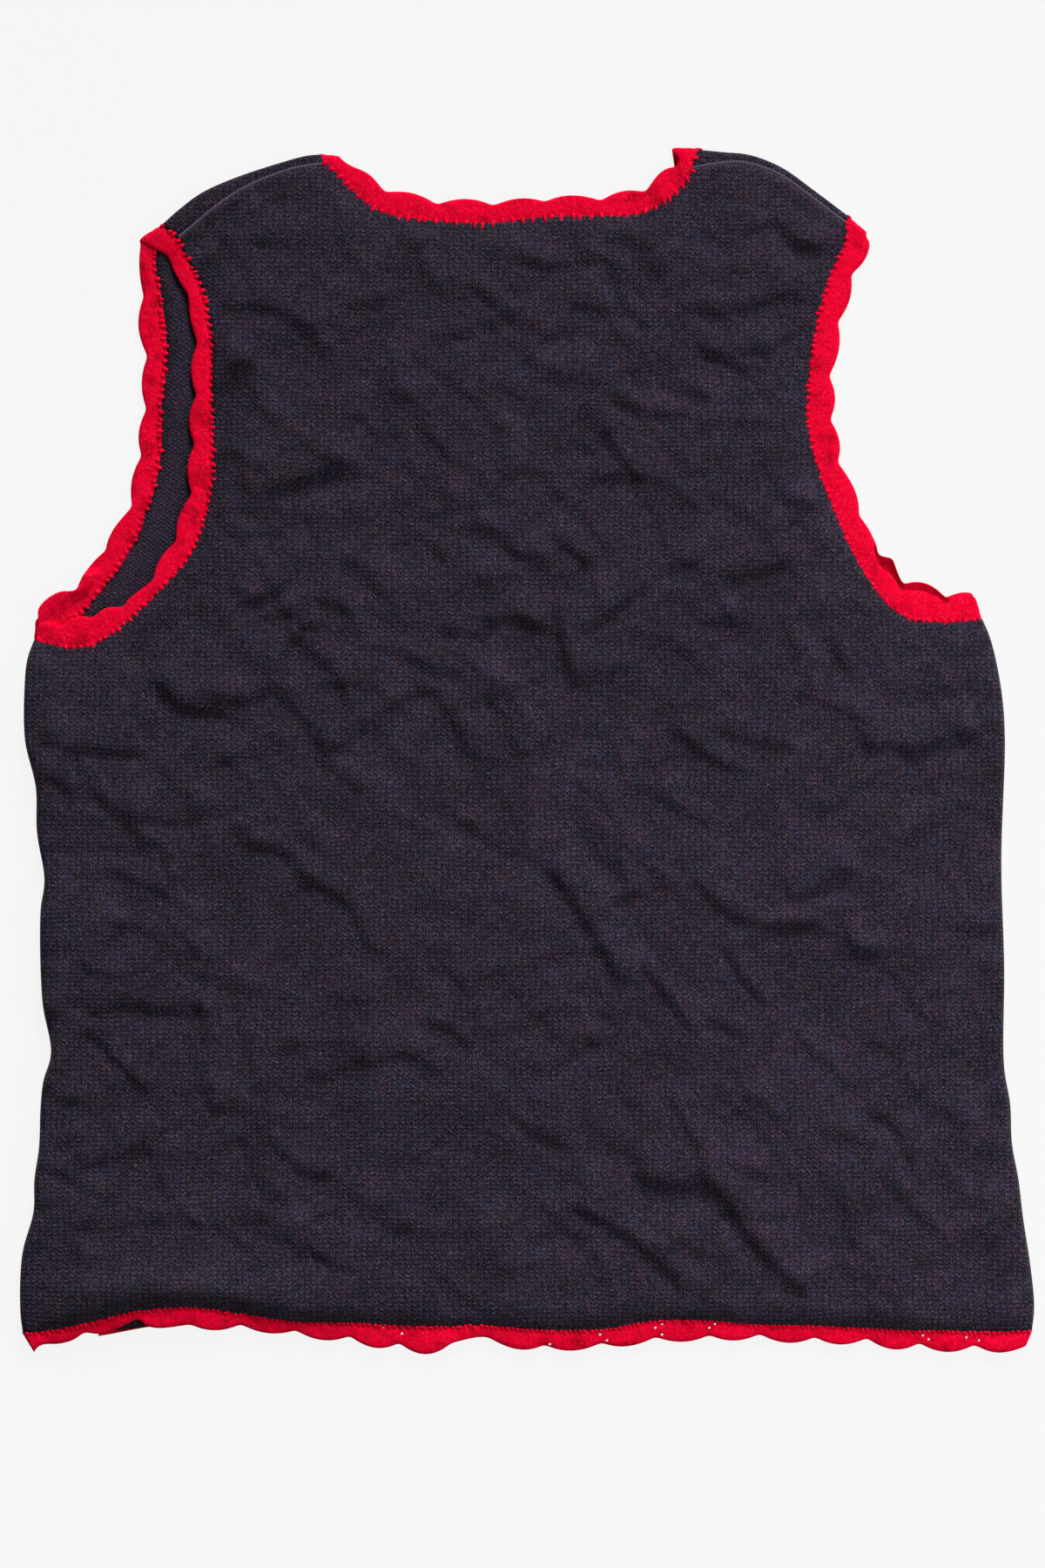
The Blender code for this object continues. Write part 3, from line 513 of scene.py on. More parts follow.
CURL_BLEND = 5.0  # width over which a curl fades out at its limits
CURLS = (  # where an edging's tips curl up or down: node, face, left, right, lower and upper limit, rise,
    # share of the edging's width from which it curls, power of its bend
    ("armhole_edging_right", "front", 176.0, 222.0, 60.0, 110.0, 4.6, 0.72, 1.2),
    ("armhole_edging_left", "back", -210.0, -181.0, 247.0, 275.0, -1.2, 0.1, 1.0),
    ("armhole_edging_left", "front", -210.0, -186.0, 248.0, 275.0, 0.8, 0.1, 1.0),
    ("armhole_edging_left", "front", -262.0, -214.0, 60.0, 95.0, 3.8, 0.44, 0.45),
    ("armhole_edging_left", "front", -228.0, -196.0, 80.0, 130.0, 1.0, 0.5, 1.4),
)
DROOP = 1.1  # how much lower the tips of the back's hem edging lie than its base
PIERCED = ("hem_edging_back", "hem_edging_front_right")  # the pieces that the holes go through
HOLE_SIZE = 1.4  # across
HOLE_CORNERS = 10
HOLE_ENDS = (-1.0, 12.0)  # lower and upper end of what is cut away
HOLES = (  # small gaps between the shells of the hem edging: x, y
    (-74.5, -298.0),
    (-65.0, -301.5),
    (11.5, -307.0),
    (37.5, -302.0),
    (41.0, -305.0),
    (66.0, -298.5),
    (69.5, -296.5),
    (69.5, -302.0),
    (94.0, -298.5),
    (97.0, -296.5),
    (204.5, -302.5),
    (207.5, -304.5),
    (227.0, -303.5),
    (233.5, -305.0),
)
LINT = (  # single light fibres on the back: x, y, length, turn in degrees, width
    (172.0, -197.0, 5.0, 4.0, 0.5),
    (219.5, -258.0, 2.6, 60.0, 0.45),
    (114.5, -36.5, 2.2, -30.0, 0.4),
)
LINT_CORNERS = 4
LINT_STEPS = 6  # along each fibre
LINT_RISE = 0.25  # of its middle over the cloth
LINT_BEND = 0.35
LINT_END = 0.35  # share of its width at its ends

# Pattern of the machine knit, in millimetres
WALE = 3.2  # width of one column of stitches
COURSE = 2.3  # height of one row
STITCH_SLANT = 0.52  # rise of a stitch's leg over its width, in rows
WANDERINGS = ((0.022, 5.0), (0.33, 0.7))  # of its rows and columns: grains to a millimetre, reach

# Noises of the materials: grains to a millimetre, detail
KNIT_NOISES = (
    (0.8, 3.0),  # fibres
    (1.9, 1.0),  # hairs
    (1.2, 3.0),  # flecks
    (0.06, 3.0),  # patches
)
CROCHET_NOISES = (
    (0.55, 2.0),  # yarn
    (1.7, 4.0),  # fibres
    # flecks: lighter pink fibres of the nap, and painted highlights where light catches it
    (1.3, 3.0),  # flecks
    # painted shade: this noise scatters patches of painted shade over the red, partly also the nap's own
    # uneven tone
    (0.11, 3.0),  # shade
)
SEAM_NOISE = (1.5, 3.0)
LINT_NOISE = (2.0, 2.0)
HALF_AND_HALF = (0.3, 0.7)  # limits of a noise that turns it from one colour to the other
IN_FLECKS = (0.58, 0.72)
IN_PATCHES = (0.52, 0.72)
BUMP_DEPTH = 0.0006  # of the small relief, in metres
DRY_GLOSS = 0.18  # how far dry yarn shines

# Colours, as linear red, green and blue
# The knit's dark and light are mixed partly by the stitches' height: painted shade in their hollows, painted
# highlight on their crests
KNIT_DARK = (0.0038, 0.0012, 0.0052, 1.0)
KNIT_LIGHT = (0.071, 0.050, 0.093, 1.0)
KNIT_FLECK = (0.155, 0.138, 0.165, 1.0)
# Painted highlight: the seam's ridge is coloured lighter than the knit
SEAM_PAINTED_HIGHLIGHT = (0.095, 0.070, 0.098, 1.0)
TINT_SCALE = 0.13  # patches to a millimetre
TINT_SHIFT = (70.0, 30.0, 0.0)  # from the red's patches to the blue's
RED_TINT = 0.52  # range of the red between patches, and of the blue
BLUE_TINT = 0.34
# Painted shade: the darkest red, put in random patches over the edgings, partly the nap's own uneven tone
RED_PAINTED_SHADE = (0.33, 0.0002, 0.009, 1.0)
RED_DARK = (0.55, 0.0003, 0.013, 1.0)
RED_LIGHT = (0.95, 0.0010, 0.038, 1.0)
# The nap's pink: the sheen's tint, and the colour of painted highlights on the nap's fibres
RED_NAP_AND_PAINTED_HIGHLIGHT = (0.98, 0.050, 0.12, 1.0)
LINT_COLOUR = (0.45, 0.43, 0.46, 1.0)
FLOOR_BASE = (0.05, 0.05, 0.05, 1.0)
FLOOR_COLOUR = (0.92, 0.92, 0.92, 1.0)
FLOOR_GLOW = 0.95
WORLD_COLOUR = (0.9, 0.95, 1.0, 1.0)
WORLD_STRENGTH = 0.12

# Camera and light, in metres
FLOOR_REACH = 9.0
FLOOR_DROP = 0.0003  # below the garment
LIGHTS = (  # name, kind, place, angle in degrees or size across, strength
    ("key", "SUN", (0.35, 1.6, 0.78), 20.0, 4.5),
    ("fill", "AREA", (0.85, -0.2, 0.8), 0.6, 7.5),
)
CAMERA_HEIGHT = 3.0  # over the back
VIEW_HEIGHT = 0.81  # length of the picture at the garment
VIEW_CENTRE = (-0.0027, -0.0173)
SENSOR = 36.0  # in millimetres


def spline(points, step, closed=False):
    """A smooth curve through the points: about one sample for each step, and one on each point."""
    points = np.array(points, float)
    if closed:
        points = np.vstack([points, points[:1]])
    spans = np.diff(points, axis=0)
    knots = np.sqrt(np.maximum(np.linalg.norm(spans, axis=1), 1e-6))
    speeds = spans / knots[:, None]
    slopes = np.vstack([speeds[:1], speeds[-1:]])
    if closed:
        joint = (speeds[-1] * knots[0] + speeds[0] * knots[-1]) / (knots[0] + knots[-1])
        slopes = np.vstack([joint, joint])
    before, after = knots[:-1, None], knots[1:, None]
    inner = (speeds[:-1] * after + speeds[1:] * before) / (before + after)
    slopes = np.vstack([slopes[:1], inner, slopes[1:]])
    samples = []
    for start, span, knot, here, there in zip(points, spans, knots, slopes, slopes[1:]):
        count = max(1, round(float(np.linalg.norm(span[:2])) / step))
        for number in range(count):
            t = number / count
            bend = (t - 2 * t**2 + t**3) * knot * here - (t**2 - t**3) * knot * there
            samples.append(start + (3 * t**2 - 2 * t**3) * span + bend)
    if not closed:
        samples.append(points[-1])
    return np.array(samples)


def smoothstep(share):
    share = np.clip(share, 0.0, 1.0)
    return share * share * (3 - 2 * share)


def unit(vector):
    return vector / np.linalg.norm(vector)


def distance_to(path, places):
    """How far each place lies from a line of points."""
    nearest = np.full(len(places), np.inf)
    for start, end in zip(path, path[1:]):
        along = end - start
        length = max(float(along @ along), 1e-12)
        share = np.clip((places - start) @ along / length, 0.0, 1.0)
        gap = np.linalg.norm(places - start - share[:, None] * along, axis=1)
        nearest = np.minimum(nearest, gap)
    return nearest


def inside(outline, places):
    """Which places lie inside a closed outline."""
    x, y = places[:, 0], places[:, 1]
    odd = np.zeros(len(places), bool)
    for (x0, y0), (x1, y1) in zip(outline, np.roll(outline, -1, axis=0)):
        if y0 == y1:
            continue
        crosses = (y0 > y) != (y1 > y)
        odd ^= crosses & (x < x0 + (y - y0) * (x1 - x0) / (y1 - y0))
    return odd


def tuck_lift(places):
    """How much the stretch of hem that lies on the tucked edging is raised."""
    left, right, upper = TUCK_BOX
    x, y = places[:, 0], places[:, 1]
    across = np.maximum(np.maximum(left - x, x - right), 0.0)
    return TUCK_LIFT * (1 - smoothstep(across / TUCK_BLEND)) * (1 - smoothstep((y - upper) / TUCK_BLEND))


def crease_profile(across, rise):
    """Height over a crease at these distances across it, in half widths."""
    side = across if rise > 0 else -across
    step = 1 / (1 + np.exp(-np.clip(CREASE_STEEPNESS * side, -40, 40)))
    soft = np.exp(-((np.maximum(side, 0.0) / CREASE_REACH) ** 2))
    counter = np.exp(-((np.minimum(side, 0.0) / (CREASE_REACH / 2)) ** 2))
    return rise * (step * soft - CREASE_COUNTER * (1 - step) * counter)


def crease_height(table, places):
    """The creases of a table, added up at each place."""
    height = np.zeros(len(places))
    for half_width, rise, *path in table:
        line = spline(np.reshape(path, (-1, 2)), CREASE_STEP)
        reach = half_width * CREASE_REACH * 2.2 + CREASE_END
        near = np.all((places > line.min(axis=0) - reach) & (places < line.max(axis=0) + reach), axis=1)
        spots = places[near]
        best = np.full(len(spots), np.inf)
        across = np.zeros(len(spots))
        past = np.zeros(len(spots))
        for number, (start, end) in enumerate(zip(line, line[1:])):
            length = float(np.linalg.norm(end - start))
            along = (end - start) / length
            up = np.array((-along[1], along[0]))
            if up[1] < 0 or (up[1] == 0 and up[0] < 0):
                up = -up
            run = (spots - start) @ along
            gap = np.linalg.norm(spots - start - np.clip(run, 0.0, length)[:, None] * along, axis=1)
            closer = gap < best
            best[closer] = gap[closer]
            across[closer] = ((spots - start) @ up)[closer]
            over = np.zeros(len(spots))
            if number == 0:
                over = np.maximum(over, -run)
            if number == len(line) - 2:
                over = np.maximum(over, run - length)
            past[closer] = np.maximum(over, 0.0)[closer]
        fade = 1 - smoothstep(past / CREASE_END)
        height[near] += fade * crease_profile(across / half_width, rise)
    return height


def fine_creases():
    """Rows like those of the creases, for many short fine ones scattered over the back."""
    chance = random.Random(FINE_SEED)
    rows = []
    for _ in range(FINE_COUNT):
        middle = np.array((chance.uniform(*FINE_ACROSS), chance.uniform(*FINE_UP)))
        turn = math.radians(chance.choice(FINE_TURNS) + chance.gauss(0, FINE_TURN_SCATTER))
        along = np.array((math.cos(turn), math.sin(turn))) * chance.uniform(*FINE_LENGTH) / 2
        bow = np.array((-along[1], along[0])) * chance.uniform(-FINE_BOW, FINE_BOW) * 2
        half_width = chance.uniform(*FINE_HALF_WIDTH)
        rise = half_width * chance.uniform(*FINE_SLOPE) * chance.choice((1, 1, -1))
        rows.append((half_width, rise, *(middle - along), *(middle + bow), *(middle + along)))
    return rows


def hem_roll(from_hem, places):
    """Height of the bulge over the hem edging."""
    across, rises, widths = np.array(HEM_ROLL).T
    rise, width = np.interp(places[:, 0], across, rises), np.interp(places[:, 0], across, widths)
    return rise * smoothstep(from_hem / width) * (1 - smoothstep((from_hem - width) / HEM_ROLL_FADE))


def crumple_height(places):
    """Small soft crumples all over, as knitted cloth has when it was folded and spread out again."""
    height = np.zeros(len(places))
    for size, rise, turn in CRUMPLES:
        along = np.array((math.cos(math.radians(turn)), math.sin(math.radians(turn))))
        across = np.array((-along[1], along[0]))
        run, side = places @ along / size / 1.8, places @ across / size
        waves = np.array([noise.noise(Vector((a, b, turn + size))) for a, b in zip(run, side)])
        height += rise * (0.5 - np.abs(waves)) * 2
    return height


def side_rounding(sides, places):
    """How far a panel has risen from the sides to its full height, from 0 to 1."""
    share = np.clip(np.minimum(*(distance_to(side, places) for side in sides)) / SIDE_ROUND, 0.0, 1.0)
    return np.sqrt(np.maximum(1 - (1 - share) ** 2, 0.0))


def ring_points(rows):
    """The rows of an edging as points tip x, y, base x, y, z and rise, with five points over each fold."""
    bases = np.array([row[3:5] for row in rows])
    points = []
    for number, (level, tip_x, tip_y, base_x, base_y, rise) in enumerate(rows):
        tip, base = np.array((tip_x, tip_y)), np.array((base_x, base_y))
        z = BACK_EDGING_MID if level == "back" else FRONT_EDGING_MID
        if level not in ("shoulder", "side"):
            points.append((level, *tip, *base, z, rise))
            continue
        along = unit(tip - base)
        inward = np.array((-along[1], along[0]))
        around = bases[number - 1] + bases[(number + 1) % len(rows)] - 2 * base
        if inward @ around < 0:
            inward = -inward
        middle = (BACK_EDGING_MID + FRONT_EDGING_MID) / 2
        radius = (BACK_EDGING_MID - FRONT_EDGING_MID) / 2
        following = rows[(number + 1) % len(rows)][0]
        from_back = 1 if following == "front" else -1
        for turn in (90, 45, 0, -45, -90):
            angle = math.radians(turn * from_back)
            inset = inward * (EDGING_WALL / 2 + radius * (1 - math.cos(angle)))
            height = middle + radius * math.sin(angle)
            joined = turn == -90 and (level == "side" or following == "front")
            label = following if joined else "fold"
            points.append((label, *(tip + inset), *(base + inset), height, rise if turn == 0 else None))
    return points


def softened(line, reach, closed):
    """A line with its corners rounded over about this many points."""
    span = math.ceil(3 * reach)
    steps = np.arange(-span, span + 1)
    weights = np.exp(-0.5 * (steps / reach) ** 2)
    weights /= weights.sum()
    if closed:
        return sum(weight * np.roll(line, step, axis=0) for step, weight in zip(steps, weights))
    padded = np.vstack([2 * line[0] - line[span:0:-1], line, 2 * line[-1] - line[-2 : -span - 2 : -1]])
    return sum(weight * padded[span + step :][: len(line)] for step, weight in zip(steps, weights))


def edging_stations(rows, closed):
    """Stations along an edging: level, base, tip with its scallop, height, and the share of the scallop."""
    points = ring_points(rows)
    first = next(number for number, point in enumerate(points) if point[-1] is not None)
    if closed:
        points = points[first:] + points[:first]
    samples = spline([point[1:6] for point in points], EDGING_STEP, closed)
    values = np.array([point[1:3] for point in points])
    runs = np.linalg.norm(np.roll(values, -1, axis=0) - values, axis=1)
    counts = [max(1, round(float(run) / EDGING_STEP)) for run in runs]
    if not closed:
        counts[-1] = 1
    index = np.concatenate([[0], np.cumsum(counts)])
    levels = [point[0] for point, count in zip(points, counts) for _ in range(count)]
    starts = [number for number, point in enumerate(points) if point[-1] is not None]
    last = index[-1] if closed else index[-2]
    marks = [index[number] for number in starts] + [last]
    tips, bases = samples[:, 0:2].copy(), samples[:, 2:4]
    heights = np.clip(samples[:, 4], FRONT_EDGING_MID, BACK_EDGING_MID)
    shares = np.zeros(len(samples))
    for start, begin, end in zip(starts, marks, marks[1:]):
        span = np.arange(begin, end + 1)
        line = samples[span % len(samples)]
        steps = np.linalg.norm(np.diff(line[:, [0, 1, 4]], axis=0), axis=1)
        share = np.concatenate([[0.0], np.cumsum(steps)]) / steps.sum()
        for place, part in zip(span[1:-1], share[1:-1]):
            outward = unit(samples[place, 0:2] - samples[place, 2:4])
            tips[place] += outward * points[start][-1] * math.sin(math.pi * part) ** SCALLOP_ROUND
            shares[place] = part
    tips = softened(tips, TIP_SOFTENING, closed)
    return {"level": levels, "base": bases, "tip": tips, "z": heights, "share": shares}


def panel_edge(stations, level):
    """The edge of the panel that an edging is worked on, a seam gap away from the edging's base."""
    levels = stations["level"]
    count = len(levels)
    starts = (number for number in range(count) if levels[number] == level != levels[number - 1])
    first = next(starts, 0)
    edge = []
    for number in ((first + step) % count for step in range(count)):
        if levels[number] == level:
            base, tip = stations["base"][number], stations["tip"][number]
            edge.append(base - unit(tip - base) * SEAM_GAP)
    return np.array(edge)[::2]


def outer_directions(stations, closed):
    """The direction away from the vest's inside at each station: up on the back and down on the front."""
    middles = np.column_stack([(stations["base"] + stations["tip"]) / 2, stations["z"]])
    bases = np.column_stack([stations["base"], stations["z"]])
    if closed:
        along = np.roll(bases, -2, axis=0) - np.roll(bases, 2, axis=0)
    else:
        along = np.gradient(bases, axis=0)
    outward = np.column_stack([stations["tip"] - stations["base"], np.zeros(len(middles))])
    found = np.cross(along, outward)
    found /= np.maximum(np.linalg.norm(found, axis=1), 1e-9)[:, None]
    level = next(name for name in stations["level"] if name in ("back", "front"))
    wanted = 1.0 if level == "back" else -1.0
    if found[stations["level"].index(level), 2] * wanted < 0:
        found = -found
    return found


def make_object(name, points, faces, materials):
    """A smooth mesh from points in millimetres, in the garment's frame."""
    mesh = bpy.data.meshes.new(name)
    mesh.from_pydata([tuple(point) for point in np.array(points, float) * MM], [], faces)
    shape = bmesh.new()
    shape.from_mesh(mesh)
    bmesh.ops.remove_doubles(shape, verts=shape.verts, dist=0.000005)
    bmesh.ops.recalc_face_normals(shape, faces=shape.faces)
    shape.to_mesh(mesh)
    shape.free()
    mesh.shade_smooth()
    for material in materials:
        mesh.materials.append(material)
    made = bpy.data.objects.new(name, mesh)
    bpy.context.scene.collection.objects.link(made)
    return made


def make_panel(name, points, faces, upward, materials):
    """A panel: its outer face through the points, with its wall inside it."""
    panel = make_object(name, points, faces, materials)
    tilt = sum(face.normal.z * face.area for face in panel.data.polygons)
    if (tilt > 0) != upward:
        panel.data.flip_normals()
    wall = panel.modifiers.new("wall", "SOLIDIFY")
    wall.thickness = KNIT_WALL * MM
    wall.offset = -1.0
    wall.material_offset = 1
    wall.use_even_offset = False
    return panel


def edging_lift(name, stations):
    return 0.0 if name == "hem_edging_front_tucked" else tuck_lift(stations["base"])


def curl_at(node, tip, out, part):
    """How far a point of an edging is raised, at this share of the way from its base to its tip."""
    level = "back" if out[2] > 0 else "front"
    rise = 0.0
    for name, face, left, right, lower, upper, amount, start, power in CURLS:
        if (name, face) == (node, level) and part > start:
            ends = min(tip[0] - left, right - tip[0], tip[1] - lower, upper - tip[1]) / CURL_BLEND
            bend = ((part - start) / (1 - start)) ** power
            rise += amount * float(smoothstep(ends)) * abs(out[2]) * bend
    return rise


def make_edging(node, stations, closed, material):
    """A closed loft of crocheted shells from the base to the scalloped tips."""
    outer = outer_directions(stations, closed)
    lift = edging_lift(node, stations) + np.zeros(len(outer))
    seed = 7.0 * len(node)
    points = []
    for base, tip, z, share, out in zip(
        stations["base"], stations["tip"], stations["z"] + lift, stations["share"], outer
    ):
        ring = []
        for side, order in ((1.0, EDGING_SHARES), (-1.0, EDGING_SHARES[-2::-1])):
            for part in order:
                spot = np.append(base + (tip - base) * part, z)
                within = max(part, 0.0)
                full = math.sqrt(max(1 - abs(2 * within - 1) ** 5, 0.0)) if part > 0 else EDGING_ROOT
                phase = SHELL_STITCHES * (share - 0.5) / (0.42 + 0.58 * within)
                ridge = SHELL_RIDGE * math.cos(2 * math.pi * phase) * math.sin(math.pi * within)
                lump = EDGING_LUMP * noise.noise(Vector((spot[0] / 5, spot[1] / 5, seed + side)))
                half = EDGING_HALF * full + (ridge + lump) * full
                spot = spot + out * side * half
                spot[2] += curl_at(node, tip, out, part)
                if node == "hem_edging_back":
                    spot[2] -= DROOP * part * (0.7 + noise.noise(Vector((spot[0] / 30, 0.0, seed))))
                spot[2] = max(spot[2], 0.04)
                ring.append(tuple(spot))
        points.append(ring)
    width = len(points[0])
    count = len(points)
    faces = []
    for number in range(count if closed else count - 1):
        here, there = number * width, (number + 1) % count * width
        for column in range(width):
            beside = (column + 1) % width
            faces.append((here + column, here + beside, there + beside, there + column))
    if not closed:
        faces.append(tuple(range(width)))
        faces.append(tuple(range((count - 1) * width, count * width)))
    flat_points = [point for ring in points for point in ring]
    return make_object(node.replace("edging", "scallops"), flat_points, faces, [material])


def yarn_stitch(centre, along, outer, half_length, half_width, height):
    """The points and faces of one stitch of yarn that lies on the knit."""
    side = np.cross(outer, along)
    points = [tuple(centre + along * half_length)]
    faces = []
    rings, turns = 4, 7
    for row in range(1, rings):
        angle = math.pi * row / rings
        for turn in range(turns):
            around = 2 * math.pi * turn / turns
            spot = centre + along * half_length * math.cos(angle)
            spot = spot + side * half_width * math.sin(angle) * math.cos(around)
            spot = spot + outer * height * math.sin(angle) * math.sin(around)
            points.append(tuple(spot))
    points.append(tuple(centre - along * half_length))
    for turn in range(turns):
        beside = (turn + 1) % turns
        faces.append((0, 1 + turn, 1 + beside))
        for row in range(rings - 2):
            here = 1 + row * turns
            faces.append((here + turn, here + turns + turn, here + turns + beside, here + beside))
        last = 1 + (rings - 2) * turns
        faces.append((last + turn, len(points) - 1, last + beside))
    return points, faces


def make_stitches(name, stations, closed, lift, material, chance):
    """The yarn stitches that hold an edging to the knit, over the base all along it."""
    outer = outer_directions(stations, closed)
    bases = np.column_stack([stations["base"], stations["z"] + lift])
    steps = np.linalg.norm(np.diff(bases, axis=0), axis=1)
    runs = np.concatenate([[0.0], np.cumsum(steps)])
    points, faces = [], []
    pitch, shortest, longest, height = STITCHES[name.split("_")[0]]
    place = pitch / 2
    while place < runs[-1]:
        number = int(np.searchsorted(runs, place))
        number = min(number, len(bases) - 1)
        away = np.append(unit(stations["base"][number] - stations["tip"][number]), 0.0)
        turn = chance.gauss(0, STITCH_TURN)
        side = np.cross(outer[number], away)
        along = unit(away * math.cos(turn) + side * math.sin(turn))
        half_length = chance.uniform(shortest, longest)
        half_width = chance.uniform(*STITCH_WIDTH)
        for face in (1.0, -1.0):
            if face < 0 and stations["level"][number] != "front":
                continue
            reach = half_length * chance.uniform(0.2, 1.0) - STITCH_INSIDE
            centre = bases[number] + along * reach + outer[number] * face * (EDGING_WALL / 2)
            centre[2] = max(centre[2], 0.5)
            made, sides = yarn_stitch(centre, along, outer[number] * face, half_length, half_width, height)
            first = len(points)
            points += made
            faces += [tuple(first + corner for corner in one) for one in sides]
        place += pitch * chance.uniform(0.75, 1.25)
    return make_object(name, points, faces, [material])


def make_seam(name, line, material, chance):
    """The ridge along a shoulder seam, one small slanted stitch after the other."""
    steps = np.linalg.norm(np.diff(line, axis=0), axis=1)
    runs = np.concatenate([[0.0], np.cumsum(steps)])
    points, faces = [], []
    for place in np.arange(SEAM_PITCH / 2, runs[-1], SEAM_PITCH):
        number = min(int(np.searchsorted(runs, place)), len(line) - 1) - 1
        way = unit(line[number + 1] - line[number])
        spot = line[number] + way * (place - runs[number])
        turn = SEAM_TURN + chance.gauss(0, 0.1)
        aside = np.array((-way[1], way[0]))
        along = np.append(way * math.cos(turn) + aside * math.sin(turn), 0.0)
        centre = np.array((*spot, EDGE_TOP - SEAM_SINK))
        made, sides = yarn_stitch(centre, along, np.array((0.0, 0.0, 1.0)), *SEAM_STITCH)
        first = len(points)
        points += made
        faces += [tuple(first + corner for corner in one) for one in sides]
    return make_object(name, points, faces, [material])


def side_and_corners(side, hem, armhole):
    """A side from the hem to the armhole, with the points across its rounding at both ends."""
    shares = SIDE_ROUND * np.array(SIDE_RINGS[1:])[:, None]
    low = side[0] + unit(hem - side[0]) * shares[::-1]
    high = side[-1] + unit(armhole - side[-1]) * shares
    return np.vstack([low, side, high])


def side_ring_points(side):
    """Rows of points just inside a side, across its rounding."""
    rows = []
    tangents = np.gradient(side, axis=0)
    for place, tangent in zip(side[1:-1], tangents[1:-1]):
        inward = unit(np.array((-tangent[1], tangent[0])))
        if inward[0] * place[0] > 0:
            inward = -inward
        rows += [place + inward * SIDE_ROUND * share for share in SIDE_RINGS[1:]]
    return rows


def sheet_points(outline, sides, spacing):
    """Points inside an outline: those across the sides' rounding, and a triangular grid clear of them."""
    low, high = outline.min(axis=0), outline.max(axis=0)
    row_height = spacing * math.sqrt(3) / 2
    rows = np.arange(int((high[1] - low[1]) / row_height) + 2)
    columns = np.arange(int((high[0] - low[0]) / spacing) + 2)
    column, row = np.meshgrid(columns, rows)
    grid = np.column_stack([
        (low[0] + spacing * (column + 0.5 * (row % 2))).ravel(),
        (low[1] + row_height * row).ravel(),
    ])
    grid = grid[inside(outline, grid)]
    closed = np.vstack([outline, outline[:1]])
    grid = grid[distance_to(closed, grid) > CLEAR_OF_OUTLINE * spacing]
    extra = np.array([point for side in sides for point in side_ring_points(side)])
    extra = extra[inside(outline, extra)]
    extra = extra[distance_to(closed, extra) > 0.05]
    for side in sides:
        grid = grid[distance_to(side, grid) > SIDE_ROUND + CLEAR_OF_OUTLINE * spacing]
    return np.vstack([extra, grid])


def triangulated(outline, points):
    """Places and triangles that fill an outline through the points inside it."""
    places = [Vector(place) for place in np.vstack([outline, points])]
    loop = list(range(len(outline)))
    found = delaunay_2d_cdt(places, [], [loop], 1, 1e-4)
    return np.array([tuple(place) for place in found[0]]), [tuple(face) for face in found[2]]


def plan_area(outline):
    """The area inside an outline, in square metres."""
    x, y = outline[:, 0] * MM, outline[:, 1] * MM
    return abs(float(np.sum(x * np.roll(y, -1) - y * np.roll(x, -1)))) / 2


def shoulder_lines(rows):
    """Fold and seam of a shoulder, sampled at the same shares from the neck out, and the way in."""
    samples = spline(rows, SIDE_STEP)
    fold, seam = samples[:, 0:2], samples[:, 2:4]
    tangents = np.gradient(fold, axis=0)
    inward = np.array([unit(np.array((-t[1], t[0]))) for t in tangents])
    inward[inward[:, 1] > 0] *= -1
    for line in (fold, seam):
        line[0] += unit(line[1] - line[0]) * 2 * SEAM_GAP
        line[-1] += unit(line[-2] - line[-1]) * 2 * SEAM_GAP
    return fold, seam, inward


def back_panel(edges, sides, seams, materials):
    left, right = sides
    hem, right_edge, left_edge = edges["hem_back"][1:-1], edges["right_back"][1:], edges["left_back"][1:]
    outline = np.vstack([
        hem,
        side_and_corners(right, hem[-1], edges["right_back"][0]),
        right_edge,
        seams["right"][::-1][1:-1],
        edges["neck_back"],
        seams["left"][1:-1],
        left_edge[::-1],
        side_and_corners(left, hem[0], edges["left_back"][0])[::-1],
    ])
    places, faces = triangulated(outline, sheet_points(outline, sides, BACK_GRID))
    borders = ("hem_back", "right_back", "neck_back", "left_back")
    from_edge = np.min([distance_to(edges[border], places) for border in borders], axis=0)
    from_seam = np.minimum(*(distance_to(seams[side], places) for side in ("left", "right")))
    full = EDGE_TOP + (BACK_TOP - EDGE_TOP) * smoothstep(np.minimum(from_edge, from_seam) / EDGE_BLEND)
    creases = CREASE_STRENGTH * crease_height(CREASES, places) + crease_height(fine_creases(), places)
    creases = np.clip(creases, *CREASE_LIMITS) + crumple_height(places)
    weaker = CREASE_AT_EDGE + (1 - CREASE_AT_EDGE) * smoothstep(from_edge / CREASE_EDGE_BLEND)
    full += creases * weaker * smoothstep((from_seam - 0.2) / CREASE_SEAM_BLEND)
    full += hem_roll(distance_to(edges["hem_back"], places), places)
    foot = SIDE_MID + SIDE_GAP / 2
    z = foot + (full - foot) * side_rounding(sides, places) + tuck_lift(places)
    panel = make_panel("back_knit", np.column_stack([places, z]), faces, True, materials)
    return panel, outline


